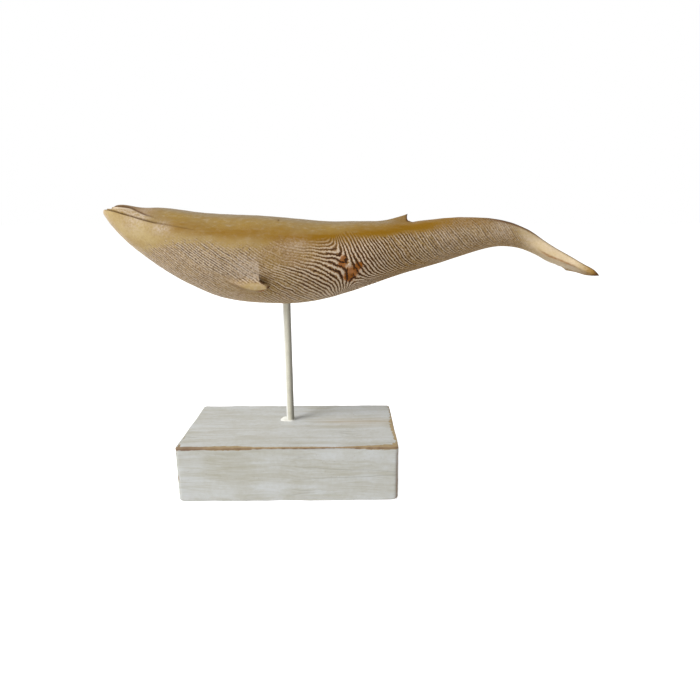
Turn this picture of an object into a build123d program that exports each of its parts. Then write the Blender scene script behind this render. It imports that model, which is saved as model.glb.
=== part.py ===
from build123d import *
import os

os.makedirs("parts", exist_ok=True)

# A carved wooden whale on a thin painted rod, over a whitewashed block.
# The origin is under the middle of the block, on the table. The whale's head
# points along -X, its near flank faces -Y and +Z is up. Lengths are in millimetres.

# Block and the felt under it
block_length = 205.0
block_depth = 105.0
block_height = 53.8
block_edge_round = 2.0
felt_thickness = 1.2
felt_margin = 6.0
felt_corner_round = 3.0

# Rod, with a thinner threaded stud at its foot
rod_diameter = 8.0
rod_free_length = 124.2
rod_socket_depth = 30.0
rod_end_chamfer = 0.6
rod_ahead_of_middle = 3.0
rod_behind_middle = 12.0
stud_diameter = 6.0
stud_clearance = 0.1
socket_clearance = 0.1

# Washer and nut in the counterbore
washer_diameter = 16.0
washer_thickness = 1.4
nut_across_flats = 10.0
nut_height = 5.0
nut_edge_chamfer = 0.5
stud_past_nut = 2.0
counterbore_diameter = 20.0
counterbore_depth = 12.0

# Bead of filler around the foot of the rod
bead_width = 3.2
bead_height = 2.6
bead_hollow = 0.5

# Whale
whale_length = 445.0
whale_height = 92.0
body_width = 76.0
fluke_span = 100.0
nose_to_rod = 166.3
notch_depth = 7.0

# Dorsal fin
fin_length = 30.0
fin_height = 6.8
fin_thickness = 5.0
fin_tip_from_nose = 281.6

# Flippers, each let into a pocket in the flank
flipper_length = 46.0
flipper_drop = 23.0
flipper_thickness = 5.0
flipper_tip_round = 1.2
flipper_edge_round = 1.4
flipper_trail_from_nose = 147.2
flipper_above_belly = 43.0
flipper_splay = 10.0
flipper_droop = 14.0

# Tongue that keys the flukes into the tail
tongue_width = 9.0
tongue_height = 7.0
tongue_length = 12.0
tongue_rise = 2.0
tongue_clearance = 0.1

# Mouth: the lower jaw reaches past the snout, and two carved lines run back from it
jaw_past_snout = 7.8
mouth_core_share = 0.90
lip_core_share = 0.96

# How far a cutter runs past the face that it opens
cut_overrun = 5.0

# Levels and places that follow from the sizes above
block_top = felt_thickness + block_height
belly_level = block_top + rod_free_length
rod_x = -rod_ahead_of_middle
middle_y = rod_behind_middle
nose_x = rod_x - nose_to_rod
stud_hole_radius = stud_diameter / 2 + stud_clearance

# Cross-sections of the body, from the nose to the tail: distance from the nose as a
# share of the whale's length, back and keel as shares of its height over the belly's
# lowest point, half width as a share of half the body's width, and the level of the
# widest place as a share of the section's own height.
trunk_shares = [
    (0.000, 0.951, 0.935, 0.06, 0.50),
    (0.006, 0.962, 0.868, 0.18, 0.58),
    (0.021, 0.986, 0.760, 0.33, 0.64),
    (0.043, 0.996, 0.642, 0.47, 0.66),
    (0.077, 0.973, 0.500, 0.62, 0.66),
    (0.122, 0.970, 0.338, 0.77, 0.63),
    (0.178, 0.936, 0.184, 0.90, 0.58),
    (0.245, 0.906, 0.052, 0.98, 0.53),
    (0.324, 0.892, 0.002, 1.00, 0.51),
    (0.403, 0.861, 0.003, 0.98, 0.50),
    (0.482, 0.833, 0.072, 0.91, 0.50),
    (0.560, 0.838, 0.194, 0.79, 0.50),
    (0.639, 0.832, 0.320, 0.63, 0.50),
    (0.706, 0.858, 0.412, 0.50, 0.50),
    (0.773, 0.871, 0.515, 0.37, 0.50),
    (0.830, 0.846, 0.578, 0.28, 0.50),
    (0.888, 0.757, 0.541, 0.25, 0.45),
]
trunk_fullness_share = 0.56
head_rows = 9

# Cross-sections of the flukes, from the joint to the trailing edge, in the same
# terms, but with the half width as a share of half the span. The last two shares are
# the fullness over and under the widest place: the leading edges are deep and flat
# topped, with a crisp lower arris.
fluke_shares = [
    (0.888, 0.757, 0.541, 0.19, 0.45, 0.56, 0.56),
    (0.908, 0.698, 0.504, 0.25, 0.36, 0.64, 0.62),
    (0.928, 0.630, 0.461, 0.34, 0.24, 0.76, 0.70),
    (0.946, 0.559, 0.424, 0.50, 0.18, 0.86, 0.70),
    (0.964, 0.506, 0.378, 0.66, 0.21, 0.90, 0.65),
    (0.982, 0.448, 0.330, 0.83, 0.27, 0.90, 0.60),
    (1.000, 0.392, 0.284, 1.00, 0.49, 0.85, 0.58),
]

# The trailing edge of one lobe, from the middle out past its tip: sideways as shares
# of half the span and forward as shares of the notch's depth.
trailing_shares = [(0.00, 1.00), (0.12, 0.45), (0.30, 0.10), (0.66, 0.38), (1.02, -0.04)]

# Level cuts of the dorsal fin: height over the back as a share of its height, then
# its front and rear ahead of the tip as shares of its length and its thickness share.
fin_shares = [
    (-0.60, 1.10, -0.26, 1.00),
    (0.00, 0.98, -0.12, 0.90),
    (0.42, 0.52, 0.05, 0.60),
    (0.75, 0.26, 0.05, 0.42),
    (1.00, 0.06, 0.00, 0.20),
]
fin_back_share = 0.828


def whale_x(along_share):
    """A place along the whale, from its nose."""
    return nose_x + along_share * whale_length


def whale_z(height_share):
    """A level on the whale, over the lowest point of its belly."""
    return belly_level + height_share * whale_height


def oval(along, back, keel, half_width, widest, over, under, core=1.0):
    """Face of one cross-section, bounded by an arch and a bowl.

    They meet at the widest places, so that a loft gets its seams along the flanks.
    Over and under are the fullness of the arch and the bowl. A core under one draws
    the same section in towards the middle of its widest line.
    """
    plane = Plane(origin=(whale_x(along), middle_y, 0), x_dir=(0, 1, 0), z_dir=(1, 0, 0))
    waist = whale_z(keel + widest * (back - keel))
    top = waist + core * (whale_z(back) - waist)
    low = waist - core * (waist - whale_z(keel))
    side = core * half_width
    shoulder = waist + over * (top - waist)
    bilge = waist - under * (waist - low)
    with BuildLine(plane) as arch:
        Bezier((-side, waist), (-side, shoulder), (-over * side, top), (0, top))
        Bezier((0, top), (over * side, top), (side, shoulder), (side, waist))
    with BuildLine(plane) as bowl:
        Bezier((side, waist), (side, bilge), (under * side, low), (0, low))
        Bezier((0, low), (-under * side, low), (-side, bilge), (-side, waist))
    return Face(Wire([*arch.edges(), *bowl.edges()]))


def trunk_ovals(rows, core=1.0):
    """The trunk's cross-sections, in order from the nose."""
    full = trunk_fullness_share
    return [
        oval(along, back, keel, side * body_width / 2, widest, full, full, core)
        for along, back, keel, side, widest in rows
    ]


def groove(line_shares, core_share):
    """Cutter for a carved line round the head: a thin band less the head's core.

    Each row holds a place along the whale, a level and the line's half height,
    as shares of the whale's length and height.
    """
    upper = [(whale_x(a), whale_z(h + t)) for a, h, t in line_shares]
    lower = [(whale_x(a), whale_z(h - t)) for a, h, t in reversed(line_shares)]
    with BuildPart() as cutter:
        with BuildSketch(Plane.XZ.offset(-middle_y)):
            with BuildLine():
                Spline(*upper)
                Line(upper[-1], lower[0])
                Spline(*lower)
                Line(lower[-1], upper[0])
            make_face()
        extrude(amount=body_width, both=True)
    with BuildPart() as core:
        loft(trunk_ovals(trunk_shares[:head_rows], core_share))
    return cutter.part - core.part


# The mouth runs from the jaw's tip back under the cheek, and a fainter line over it
# parts the pale upper lip from the snout.
mouth_shares = [
    (-0.010, 0.962, 0.014),
    (0.053, 0.912, 0.012),
    (0.107, 0.842, 0.010),
    (0.155, 0.800, 0.008),
    (0.202, 0.750, 0.003),
]
lip_shares = [
    (0.010, 0.984, 0.012),
    (0.055, 0.967, 0.010),
    (0.090, 0.921, 0.009),
    (0.115, 0.878, 0.006),
    (0.138, 0.848, 0.002),
]
jaw_lip_share = 0.955
mouth_cutter = groove(mouth_shares, mouth_core_share)
lip_cutter = groove(lip_shares, lip_core_share)


# Whitewashed block, bored for the stud and counterbored from below
with BuildPart() as base_block:
    with BuildSketch(Plane.XY.offset(felt_thickness)):
        Rectangle(block_length, block_depth)
    extrude(amount=block_height)
    fillet(base_block.edges(), radius=block_edge_round)
    with Locations(Location((rod_x, middle_y, felt_thickness), (180, 0, 0))):
        CounterBoreHole(
            radius=stud_hole_radius,
            counter_bore_radius=counterbore_diameter / 2,
            counter_bore_depth=counterbore_depth,
            depth=block_height,
        )
base_block.part.label = "base_block"
export_step(base_block.part, "parts/base_block.step")


with BuildPart() as felt_underlay:
    with BuildSketch():
        RectangleRounded(
            block_length - 2 * felt_margin,
            block_depth - 2 * felt_margin,
            radius=felt_corner_round,
        )
    extrude(amount=felt_thickness)
felt_underlay.part.label = "felt_underlay"
export_step(felt_underlay.part, "parts/felt_underlay.step")


# Washer and nut, seated against the ceiling of the counterbore
washer_level = felt_thickness + counterbore_depth - washer_thickness
nut_level = washer_level - nut_height
stud_end = nut_level - stud_past_nut

with BuildPart() as rod_washer:
    with BuildSketch(Plane((rod_x, middle_y, washer_level))):
        Circle(washer_diameter / 2)
        Circle(stud_hole_radius, mode=Mode.SUBTRACT)
    extrude(amount=washer_thickness)
rod_washer.part.label = "rod_washer"
export_step(rod_washer.part, "parts/rod_washer.step")

with BuildPart() as rod_nut:
    with BuildSketch(Plane((rod_x, middle_y, nut_level))):
        RegularPolygon(nut_across_flats / 2, 6, major_radius=False)
    extrude(amount=nut_height)
    with BuildSketch(Plane((rod_x, middle_y, nut_level))):
        Circle(stud_hole_radius)
    extrude(amount=nut_height, mode=Mode.SUBTRACT)
    bore_mouths = rod_nut.edges().filter_by(GeomType.CIRCLE)
    chamfer(bore_mouths, length=nut_edge_chamfer)
rod_nut.part.label = "rod_nut"
export_step(rod_nut.part, "parts/rod_nut.step")


# Rod: its shoulder stands on the block, its stud goes down to the nut and its upper
# end is glued into the belly
with BuildPart() as support_rod:
    with BuildSketch(Plane((rod_x, middle_y, block_top))):
        Circle(rod_diameter / 2)
    extrude(amount=rod_free_length + rod_socket_depth)
    chamfer(support_rod.edges().group_by(Axis.Z)[-1], length=rod_end_chamfer)
    with BuildSketch(Plane((rod_x, middle_y, stud_end))):
        Circle(stud_diameter / 2)
    extrude(amount=block_top - stud_end)
    chamfer(support_rod.edges().group_by(Axis.Z)[0], length=rod_end_chamfer)
support_rod.part.label = "support_rod"
export_step(support_rod.part, "parts/support_rod.step")


# Filler bead: a hollow-sided ring that fairs the rod into the block
with BuildPart() as rod_foot_filler:
    with BuildSketch(Plane.XZ.offset(-middle_y)):
        with BuildLine():
            bead_in = rod_x + rod_diameter / 2
            bead_out = bead_in + bead_width
            bead_top = block_top + bead_height
            Line((bead_in, bead_top), (bead_in, block_top))
            Line((bead_in, block_top), (bead_out, block_top))
            SagittaArc((bead_out, block_top), (bead_in, bead_top), bead_hollow)
        make_face()
    revolve(axis=Axis((rod_x, middle_y, 0), (0, 0, 1)))
rod_foot_filler.part.label = "rod_foot_filler"
export_step(rod_foot_filler.part, "parts/rod_foot_filler.step")


# Flipper: a blade whose plane turns out at the rear and at its lower edge, so that
# only its hind lower part stands clear of the flank
flipper_anchor = (
    nose_x + flipper_trail_from_nose,
    middle_y - body_width / 2,
    belly_level + flipper_above_belly,
)
flipper_plane = Plane(
    origin=flipper_anchor,
    x_dir=Vector(1, 0, 0).rotate(Axis.Z, -flipper_splay),
    z_dir=Vector(0, -1, 0).rotate(Axis.X, -flipper_droop).rotate(Axis.Z, -flipper_splay),
)
flipper_outline_shares = [(0.02, -0.78), (0.20, -1.04), (-0.32, -1.00), (-0.84, -0.50)]

with BuildPart() as left_flipper:
    with BuildSketch(flipper_plane):
        with BuildLine():
            heel, tip, keel, front = [
                (along * flipper_length, drop * flipper_drop)
                for along, drop in flipper_outline_shares
            ]
            Line((0, 0), heel)
            Line(heel, tip)
            ThreePointArc(tip, keel, front)
            Line(front, (front[0], 0))
            Line((front[0], 0), (0, 0))
        make_face()
    extrude(amount=-flipper_thickness)
    tip_edges = left_flipper.edges().filter_by(Axis(flipper_anchor, flipper_plane.z_dir))
    fillet(tip_edges, radius=flipper_tip_round)
    outer_face = left_flipper.faces().sort_by(Axis.Y)[0]
    fillet(outer_face.edges(), radius=flipper_edge_round)
left_flipper.part.label = "left_flipper"
export_step(left_flipper.part, "parts/left_flipper.step")

with BuildPart() as right_flipper:
    mirror(left_flipper.part, about=Plane.XZ.offset(-middle_y))
right_flipper.part.label = "right_flipper"
export_step(right_flipper.part, "parts/right_flipper.step")


# Flukes: lofted back from the joint, with the notch cut in the trailing edge and a
# tongue that reaches forward into the tail
joint_along, joint_back, joint_keel = fluke_shares[0][:3]
tongue_level = whale_z((joint_back + joint_keel) / 2) + tongue_rise
joint_plane = Plane(
    origin=(whale_x(joint_along), middle_y, tongue_level),
    x_dir=(0, 1, 0),
    z_dir=(1, 0, 0),
)

with BuildPart() as tail_flukes:
    loft(
        [
            oval(along, back, keel, side * fluke_span / 2, widest, over, under)
            for along, back, keel, side, widest, over, under in fluke_shares
        ]
    )
    with BuildSketch(Plane((whale_x(1), middle_y, belly_level))):
        with BuildLine():
            lobe = [
                (-forward * notch_depth, sideways * fluke_span / 2)
                for sideways, forward in trailing_shares
            ]
            Spline(*lobe, tangents=[(0, 1), (1, 2)])
            Polyline(lobe[-1], (cut_overrun, lobe[-1][1]), (cut_overrun, 0), lobe[0])
        make_face()
        mirror(about=Plane.XZ)
    extrude(amount=whale_height, mode=Mode.SUBTRACT)
    with BuildSketch(joint_plane):
        Rectangle(tongue_width, tongue_height)
    extrude(amount=-tongue_length)
tail_flukes.part.label = "tail_flukes"
export_step(tail_flukes.part, "parts/tail_flukes.step")


# Whale: trunk and head in one loft, the dorsal fin on its back, the mouth lines, the
# rod's socket, the flippers' pockets and the mortise for the tongue
fin_tip_x = nose_x + fin_tip_from_nose

with BuildPart() as dorsal_fin:
    for level, front, rear, thick in fin_shares:
        plane_z = whale_z(fin_back_share) + level * fin_height
        with BuildSketch(Plane((fin_tip_x, middle_y, plane_z))):
            with BuildLine():
                nose_end = (-front * fin_length, 0)
                tail_end = (-rear * fin_length, 0)
                middle = (nose_end[0] + tail_end[0]) / 2
                ThreePointArc(nose_end, (middle, thick * fin_thickness / 2), tail_end)
                mirror(about=Plane.XZ)
            make_face()
    loft()

with BuildPart() as whale_body:
    loft(trunk_ovals(trunk_shares))
    add(dorsal_fin.part)
    with BuildSketch(Plane((nose_x, middle_y, whale_z(jaw_lip_share)))):
        Rectangle(2 * jaw_past_snout, body_width)
    extrude(amount=whale_height, mode=Mode.SUBTRACT)
    add(mouth_cutter, mode=Mode.SUBTRACT)
    add(lip_cutter, mode=Mode.SUBTRACT)
    with BuildSketch(Plane((rod_x, middle_y, belly_level - cut_overrun))):
        Circle(rod_diameter / 2 + socket_clearance)
    extrude(amount=cut_overrun + rod_socket_depth, mode=Mode.SUBTRACT)
    add(left_flipper.part, mode=Mode.SUBTRACT)
    add(right_flipper.part, mode=Mode.SUBTRACT)
    with BuildSketch(joint_plane):
        Rectangle(tongue_width + 2 * tongue_clearance, tongue_height + 2 * tongue_clearance)
    extrude(amount=-tongue_length, mode=Mode.SUBTRACT)
whale_body.part.label = "whale_body"
export_step(whale_body.part, "parts/whale_body.step")
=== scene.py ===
"""A carved wooden whale on a painted rod, over a whitewashed block.

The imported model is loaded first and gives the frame. Forms are worked out in
millimetres, as in the solids, and every mesh is laid down in metres.
"""

import math
from collections import namedtuple
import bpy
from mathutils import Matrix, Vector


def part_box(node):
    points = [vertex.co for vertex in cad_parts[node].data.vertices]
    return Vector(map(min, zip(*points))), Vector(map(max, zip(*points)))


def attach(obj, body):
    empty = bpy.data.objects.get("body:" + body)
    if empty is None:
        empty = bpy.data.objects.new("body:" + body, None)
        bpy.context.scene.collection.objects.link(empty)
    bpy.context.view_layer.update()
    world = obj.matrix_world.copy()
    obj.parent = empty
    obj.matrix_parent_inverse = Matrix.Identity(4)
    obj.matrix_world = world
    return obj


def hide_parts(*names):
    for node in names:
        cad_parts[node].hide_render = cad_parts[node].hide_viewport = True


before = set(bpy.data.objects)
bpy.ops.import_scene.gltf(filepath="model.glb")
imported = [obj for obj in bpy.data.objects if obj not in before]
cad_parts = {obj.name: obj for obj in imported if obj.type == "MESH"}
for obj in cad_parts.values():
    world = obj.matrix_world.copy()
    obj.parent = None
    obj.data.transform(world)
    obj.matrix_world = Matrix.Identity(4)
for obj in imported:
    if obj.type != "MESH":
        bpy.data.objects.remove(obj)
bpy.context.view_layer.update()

from types import SimpleNamespace

import bpy
import numpy as np
from mathutils import Matrix

bl_info = {
    "name": "Carved whale on a block",
    "version": (1, 0, 0),
    "blender": (4, 5, 0),
    "location": "View3D > Sidebar > Whale",
    "description": "Lays down a carved whale, its rod and its whitewashed block",
    "category": "Object",
}

MM = 0.001
TURN = 2 * math.pi

# The frame's boxes, in millimetres
WHALE_LOW, WHALE_HIGH = np.array(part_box("whale_body")) / MM
ROD_LOW, ROD_HIGH = np.array(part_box("support_rod")) / MM
BLOCK_LOW, BLOCK_HIGH = np.array(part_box("base_block")) / MM
MIDDLE_Y = (WHALE_LOW[1] + WHALE_HIGH[1]) / 2
ROD_X = (ROD_LOW[0] + ROD_HIGH[0]) / 2
BLOCK_TOP = BLOCK_HIGH[2]
HALF_LONG, HALF_DEEP = (BLOCK_HIGH - BLOCK_LOW)[:2] / 2


def linear(red, green, blue):
    """Linear values of a colour written as 0 to 255 in each channel."""
    share = np.array([red, green, blue]) / 255
    curved = ((share + 0.055) / 1.055) ** 2.4
    return tuple(float(v) for v in np.where(share <= 0.04045, share / 12.92, curved))


def colour_property(name, description, red, green, blue):
    return bpy.props.FloatVectorProperty(
        name=name,
        description=description,
        subtype="COLOR",
        size=3,
        min=0,
        max=1,
        default=linear(red, green, blue),
    )


def length_property(name, description, millimetres):
    return bpy.props.FloatProperty(
        name=name,
        description=description,
        unit="LENGTH",
        precision=4,
        default=millimetres * MM,
    )


def in_millimetres(group):
    """The lengths of a property group as plain numbers in millimetres."""
    keys = type(group).__annotations__
    return SimpleNamespace(**{key: getattr(group, key) / MM for key in keys})


class WhaleSizes(bpy.types.PropertyGroup):
    whale_length: length_property("Whale length", "From the jaw's tip to the flukes' tips", 445)
    whale_height: length_property("Whale height", "From the belly's lowest point to the snout", 92)
    body_width: length_property("Body width", "Width of the trunk at its widest", 76)
    fluke_span: length_property("Fluke span", "From tip to tip of the flukes", 100)
    notch_depth: length_property("Notch depth", "How far the trailing edge is cut in", 7)
    fin_height: length_property("Fin height", "Height of the dorsal fin over the back", 6.9)
    fin_length: length_property("Fin length", "Length of the dorsal fin's rise", 31)
    mouth_depth: length_property("Mouth line depth", "Depth of the carved mouth line", 1.3)
    lip_depth: length_property("Lip line depth", "Depth of the line over the upper lip", 1.0)
    grain_pitch: length_property("Grain pitch", "From one brushed ridge to the next", 2.1)
    grain_relief: length_property("Grain relief", "Height of the brushed ridges", 0.3)


class WhaleColours(bpy.types.PropertyGroup):
    honey: colour_property("Honey", "Smooth wood of the back", 158, 129, 68)
    # Greyer wood: a random tone in the mottle, and the colour of the painted sheen along the crown
    weathered: colour_property("Weathered", "Greyer wood along the crown", 146, 129, 100)
    ochre: colour_property("Ochre", "Stained band along the shoulder", 137, 97, 8)
    jaw: colour_property("Jaw", "Smooth wood of the cheek and jaw", 186, 163, 113)
    flank: colour_property("Flank", "Brushed wood between the lines", 152, 123, 84)
    ridge: colour_property("Ridge", "Pale wash left on the ridges", 210, 191, 168)
    valley: colour_property("Valley", "Dark stain left in the valleys", 60, 34, 16)
    cream: colour_property("Cream", "Pale wood of the tail and the lip", 214, 193, 161)
    # Also the colour of the painted bounce light low on the belly
    bloom: colour_property("Bloom", "Whitish and pink patches of wash", 204, 186, 166)
    rust: colour_property("Rust", "Orange heart of the knot", 160, 92, 10)
    # Real stain, and also the painted shade in the carved lines, by the dorsal fin, along the
    # flipper's trailing edge and on the tail's far side
    soot: colour_property("Soot", "Stain in the carved lines", 80, 50, 18)


class StandSizes(bpy.types.PropertyGroup):
    rod_diameter: length_property("Rod diameter", "Rod over the block", 7.7)
    stud_diameter: length_property("Stud diameter", "Threaded foot of the rod", 6)
    bead_width: length_property("Bead width", "Filler round the rod's foot", 3.2)
    bead_height: length_property("Bead height", "Filler up the rod", 2.6)
    edge_round: length_property("Edge round", "Worn edges of the block", 2.8)


class StandColours(bpy.types.PropertyGroup):
    whitewash: colour_property("Whitewash", "Paint on the block", 203, 205, 204)
    thin_wash: colour_property("Thin wash", "Wood showing through in streaks", 172, 168, 150)
    bare_wood: colour_property("Bare wood", "Worn edges", 172, 148, 102)
    burnt_wood: colour_property("Burnt wood", "Darkest worn edges", 112, 82, 52)
    rod_paint: colour_property("Rod paint", "Off-white paint of the rod", 222, 218, 200)
    filler: colour_property("Filler", "White filler at the rod's foot", 238, 238, 232)
    steel: colour_property("Steel", "Washer and nut", 150, 150, 152)
    felt: colour_property("Felt", "Sheet under the block", 60, 62, 60)


# Cross-sections from the nose to the trailing edge: distance from the nose as a share
# of the length, back and keel as shares of the height over the belly's lowest point,
# half width as a share of half the body's width, level of the widest place as a share
# of the section's height, and the fullness over and under that place.
TRUNK = [
    (0.000, 0.951, 0.935, 0.06, 0.50, 0.56, 0.56),
    (0.006, 0.962, 0.868, 0.18, 0.58, 0.56, 0.56),
    (0.021, 0.986, 0.760, 0.33, 0.64, 0.56, 0.56),
    (0.043, 0.996, 0.642, 0.47, 0.66, 0.56, 0.56),
    (0.077, 0.973, 0.500, 0.62, 0.66, 0.56, 0.56),
    (0.122, 0.970, 0.338, 0.77, 0.63, 0.56, 0.56),
    (0.178, 0.936, 0.184, 0.90, 0.58, 0.56, 0.56),
    (0.245, 0.906, 0.052, 0.98, 0.53, 0.56, 0.56),
    (0.324, 0.892, 0.002, 1.00, 0.51, 0.56, 0.56),
    (0.403, 0.861, 0.003, 0.98, 0.50, 0.56, 0.56),
    (0.482, 0.833, 0.072, 0.91, 0.50, 0.56, 0.56),
    (0.560, 0.838, 0.194, 0.79, 0.50, 0.56, 0.56),
    (0.639, 0.832, 0.320, 0.63, 0.50, 0.56, 0.56),
    (0.706, 0.858, 0.412, 0.50, 0.50, 0.56, 0.56),
    (0.773, 0.871, 0.515, 0.37, 0.50, 0.57, 0.56),
    (0.830, 0.846, 0.578, 0.28, 0.50, 0.60, 0.56),
    (0.888, 0.757, 0.541, 0.25, 0.45, 0.62, 0.56),
]
# The same for the flukes, with the half width as a share of half the span
FLUKES = [
    (0.908, 0.702, 0.504, 0.23, 0.32, 0.66, 0.62),
    (0.928, 0.629, 0.456, 0.35, 0.33, 0.76, 0.62),
    (0.946, 0.568, 0.413, 0.49, 0.34, 0.86, 0.58),
    (0.964, 0.518, 0.389, 0.65, 0.36, 0.90, 0.56),
    (0.982, 0.469, 0.356, 0.83, 0.38, 0.90, 0.58),
    (1.000, 0.428, 0.315, 1.01, 0.41, 0.85, 0.58),
]
JOINT_ALONG = 0.888

# Trailing edge of one lobe: sideways as a share of half the span, forward as a share
# of the notch's depth
TRAILING = [(0.00, 1.00), (0.12, 0.45), (0.30, 0.10), (0.66, 0.38), (1.02, -0.04)]
# The trailing edge's rounding, and how far the near lobe hangs for each millimetre
# sideways
TRAIL_ROUND = 2.4
LOBE_DROOP = 0.04

# Lines on the flank, as place along the whale and level. First the head's carved lines
MOUTH_LINE = [
    (-169.3, 267.4), (-161.1, 266.3), (-153.5, 265.0), (-145.7, 262.9), (-136.3, 260.7),
    (-127.5, 258.2), (-115.2, 255.2), (-100.5, 252.8), (-85.4, 250.2), (-74.0, 247.6),
]
LIP_LINE = [
    (-161.5, 269.6), (-153.9, 269.3), (-145.2, 268.6), (-139.5, 267.5), (-134.2, 265.6),
    (-124.0, 261.8), (-108.3, 257.6), (-98.0, 255.6),
]
# Middle of the ochre band
OCHRE_LINE = [
    (-125, 253.4), (-106, 252), (-90.2, 250.3), (-44, 247.6), (5, 243.1), (43.6, 243),
    (67.8, 245.6), (100.1, 249), (136, 252), (159.2, 255), (183.4, 255.8), (215, 248),
]
# Upper border of the brushed grain
GRAIN_LINE = [
    (-150, 233), (-118.2, 231.7), (-94.3, 232.5), (-69.5, 233.3), (-47.7, 230.6),
    (-22.9, 229.7), (-13.9, 233.2), (-3.1, 239.2), (19.8, 238.3), (43.7, 239.5),
    (49.9, 243.4), (58.8, 244.3), (69.4, 240.4), (91.5, 241.6), (107.3, 244.6),
    (132, 247.2), (150, 253), (168, 262), (188.1, 264), (208.7, 258), (230, 244),
]
# Faint edge along the tail
ARRIS_LINE = [
    (180, 258.6), (189.2, 257.3), (198.6, 255.4), (210.1, 252.7), (222.7, 248.1),
    (237.5, 239.9), (257.6, 228.7), (276, 217),
]
# Brown line along the underside of the flukes
FLUKE_LINE = [
    (222.8, 239.6), (229.3, 234.0), (236.6, 228.9), (242.9, 224.9), (251.5, 221.6),
    (257.1, 219.2), (262.3, 217.2), (271, 213.0),
]

# The sections' belly lies a little under the solid's
BELLY_DEEPER = 0.18
JAW_TOP = 267.06
SNOUT_FRONT = -161.5
# The jaw's tip is rubbed round
NOSE_TRIM = 1.2
FIN_TIP_X = 113.1
CREAM_START = 213.0
KNOT_X = 58.7
KNOT_Z = 217.0
# The brushed lines turn by the flipper
LINES_TURN_X = -20.0
# Foot of the flipper, where its ridge leaves the belly
FLIPPER_FOOT_X = -31.0
FLIPPER_FOOT_Z = 199.0
DARK_SPECK = (-6.2, 256.7, 0.7)

# Orange patches of the knot: place, level and reach
RUST_SPOTS = [
    (60.6, 211.6, 5.0), (57.2, 206.0, 3.4), (67.0, 217.8, 3.0), (51.5, 219.0, 3.2),
    (53.0, 224.5, 2.2),
]
# Pale patches of wash: place, level, reach, how much lower than long, and strength
BLOOM_PATCHES = [
    (-108, 250, 9, 1.6, 1.0), (-134, 256, 12, 1.0, 0.8), (-127, 264, 8, 1.4, 0.7),
    (12, 236, 10, 1.5, 0.5), (-165, 256, 12, 1.0, 0.4), (200, 250, 9, 0.8, 0.5),
]

# Flipper blade: levels of its ridge and of the facet over it, by place along the whale,
# and the trailing edge by level
BLADE_RIDGE = [
    (-72, 216), (-60, 210.5), (-48, 203.6), (-37, 199.2), (-26, 197.0), (-13, 198.6),
]
BLADE_FACET = [(-72, 215), (-50, 206.5), (-34, 203.4), (-22.1, 203.0), (-13, 199.3)]
BLADE_TRAIL = [(192, -26.0), (196.5, -17.5), (199.0, -13.2), (204.8, -22.1), (230, -22.1)]
BLADE_FRONT = -72.0
BLADE_TOP = 229.0
BLADE_BOTTOM = 193.0
# A point of the blade's plane, and how the plane leans out backwards and downwards
BLADE_ANCHOR = (-22.1, -26.0, 222.2)
BLADE_SPLAY = math.radians(10)
BLADE_DROOP = math.radians(14)
# How far the facet turns in, over what height the blade returns under its ridge, how
# deep its thin edge dips into the flank and how thick it is inside
FACET_TILT = 0.32
RIDGE_FALL = 4.5
EDGE_DIP = 0.5
BLADE_THICK = 2.5

# The block: its foot reaches down round the felt, and its bores are as in the solid
BLOCK_FOOT = 0.2
CORNER_ROUND = 3.0
BORE_RADIUS = 3.1
COUNTERBORE_RADIUS = 10.0
COUNTERBORE_DEPTH = 12.0
# Front edge of the block's top: place, and how far in the paint is worn off
WORN_WIDTH = [
    (-102, 5.0), (-90, 5.2), (-76, 4.2), (-60, 5.4), (-40, 5.0), (-30, 2.8),
    (0, 2.2), (40, 2.0), (60, 2.4), (72, 4.4), (90, 7.0), (102, 9.0),
]
# The same edge: place, and how burnt its wood is
BURNT_SHARE = [(-102, 0.7), (-92, 0.8), (-80, 0.6), (-70, 0.15), (-20, 0.1), (102, 0.1)]
# Growth rings of the block: their pith and their pitch, in metres
PITH = (0, 0.02, -0.045)
RING_PITCH = 0.0042

# Counts of points on each surface: half rings of the whale, rings of its flukes, sheets
# of the flipper, and rings with the points round them of the rod, filler and block
SKIN_HALF_RING = 92
FLUKE_RINGS = 84
FLUKE_HALF_RING = 121
BLADE_ROWS = 96
BLADE_COLUMNS = 110
SHAFT_RINGS = 150
SHAFT_POINTS = 48
FILLER_RINGS = 18
FILLER_POINTS = 96
BLOCK_POINTS = 560
CORNER_POINTS = 8
EDGE_ROWS = 10
SIDE_ROWS = 46
TOP_ROWS = 42
# Angles of the rings that close the nose and round the trailing edge
NOSE_ANGLES = np.radians([12, 26, 40, 54, 68, 80])
TRAIL_ANGLES = np.radians([15, 30, 45, 58, 70, 80])

# The camera solved from the photograph: focal length and picture's width in its pixels,
# place in millimetres, and turns in radians
FOCAL_LENGTH = 507.281
PICTURE_WIDTH = 700
SENSOR_WIDTH = 36
CAMERA_PLACE = (53.3138, -479.1284, 265.2013)
CAMERA_YAW = 0.0115
CAMERA_PITCH = 0.2686
CAMERA_ROLL = -0.0017
# Where the lamps look, in metres, and the floor, in millimetres
LAMPS_AIM = (0.03, 0, 0.16)
FLOOR_REACH = 9000
FLOOR_LINES = 7


def fade(low, high, value):
    """0 below low and 1 above high, with the smooth cubic 3t² - 2t³ between them."""
    t = np.clip((value - low) / (high - low), 0, 1)
    return t * t * (3 - 2 * t)


def bell(value, centre, reach):
    """Bell curve: the exponential of minus the square of the distance over the reach."""
    return np.exp(-(((value - centre) / reach) ** 2))


def soft_rise(value, softness):
    """0 well under zero and the value itself well over it: s·log(1 + exp(value/s))."""
    return softness * np.logaddexp(0, value / softness)


def level_on(line, x):
    """Level of a line, given by its corners, at each place x."""
    places, levels = np.array(line).T
    return np.interp(x, places, levels)


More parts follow.
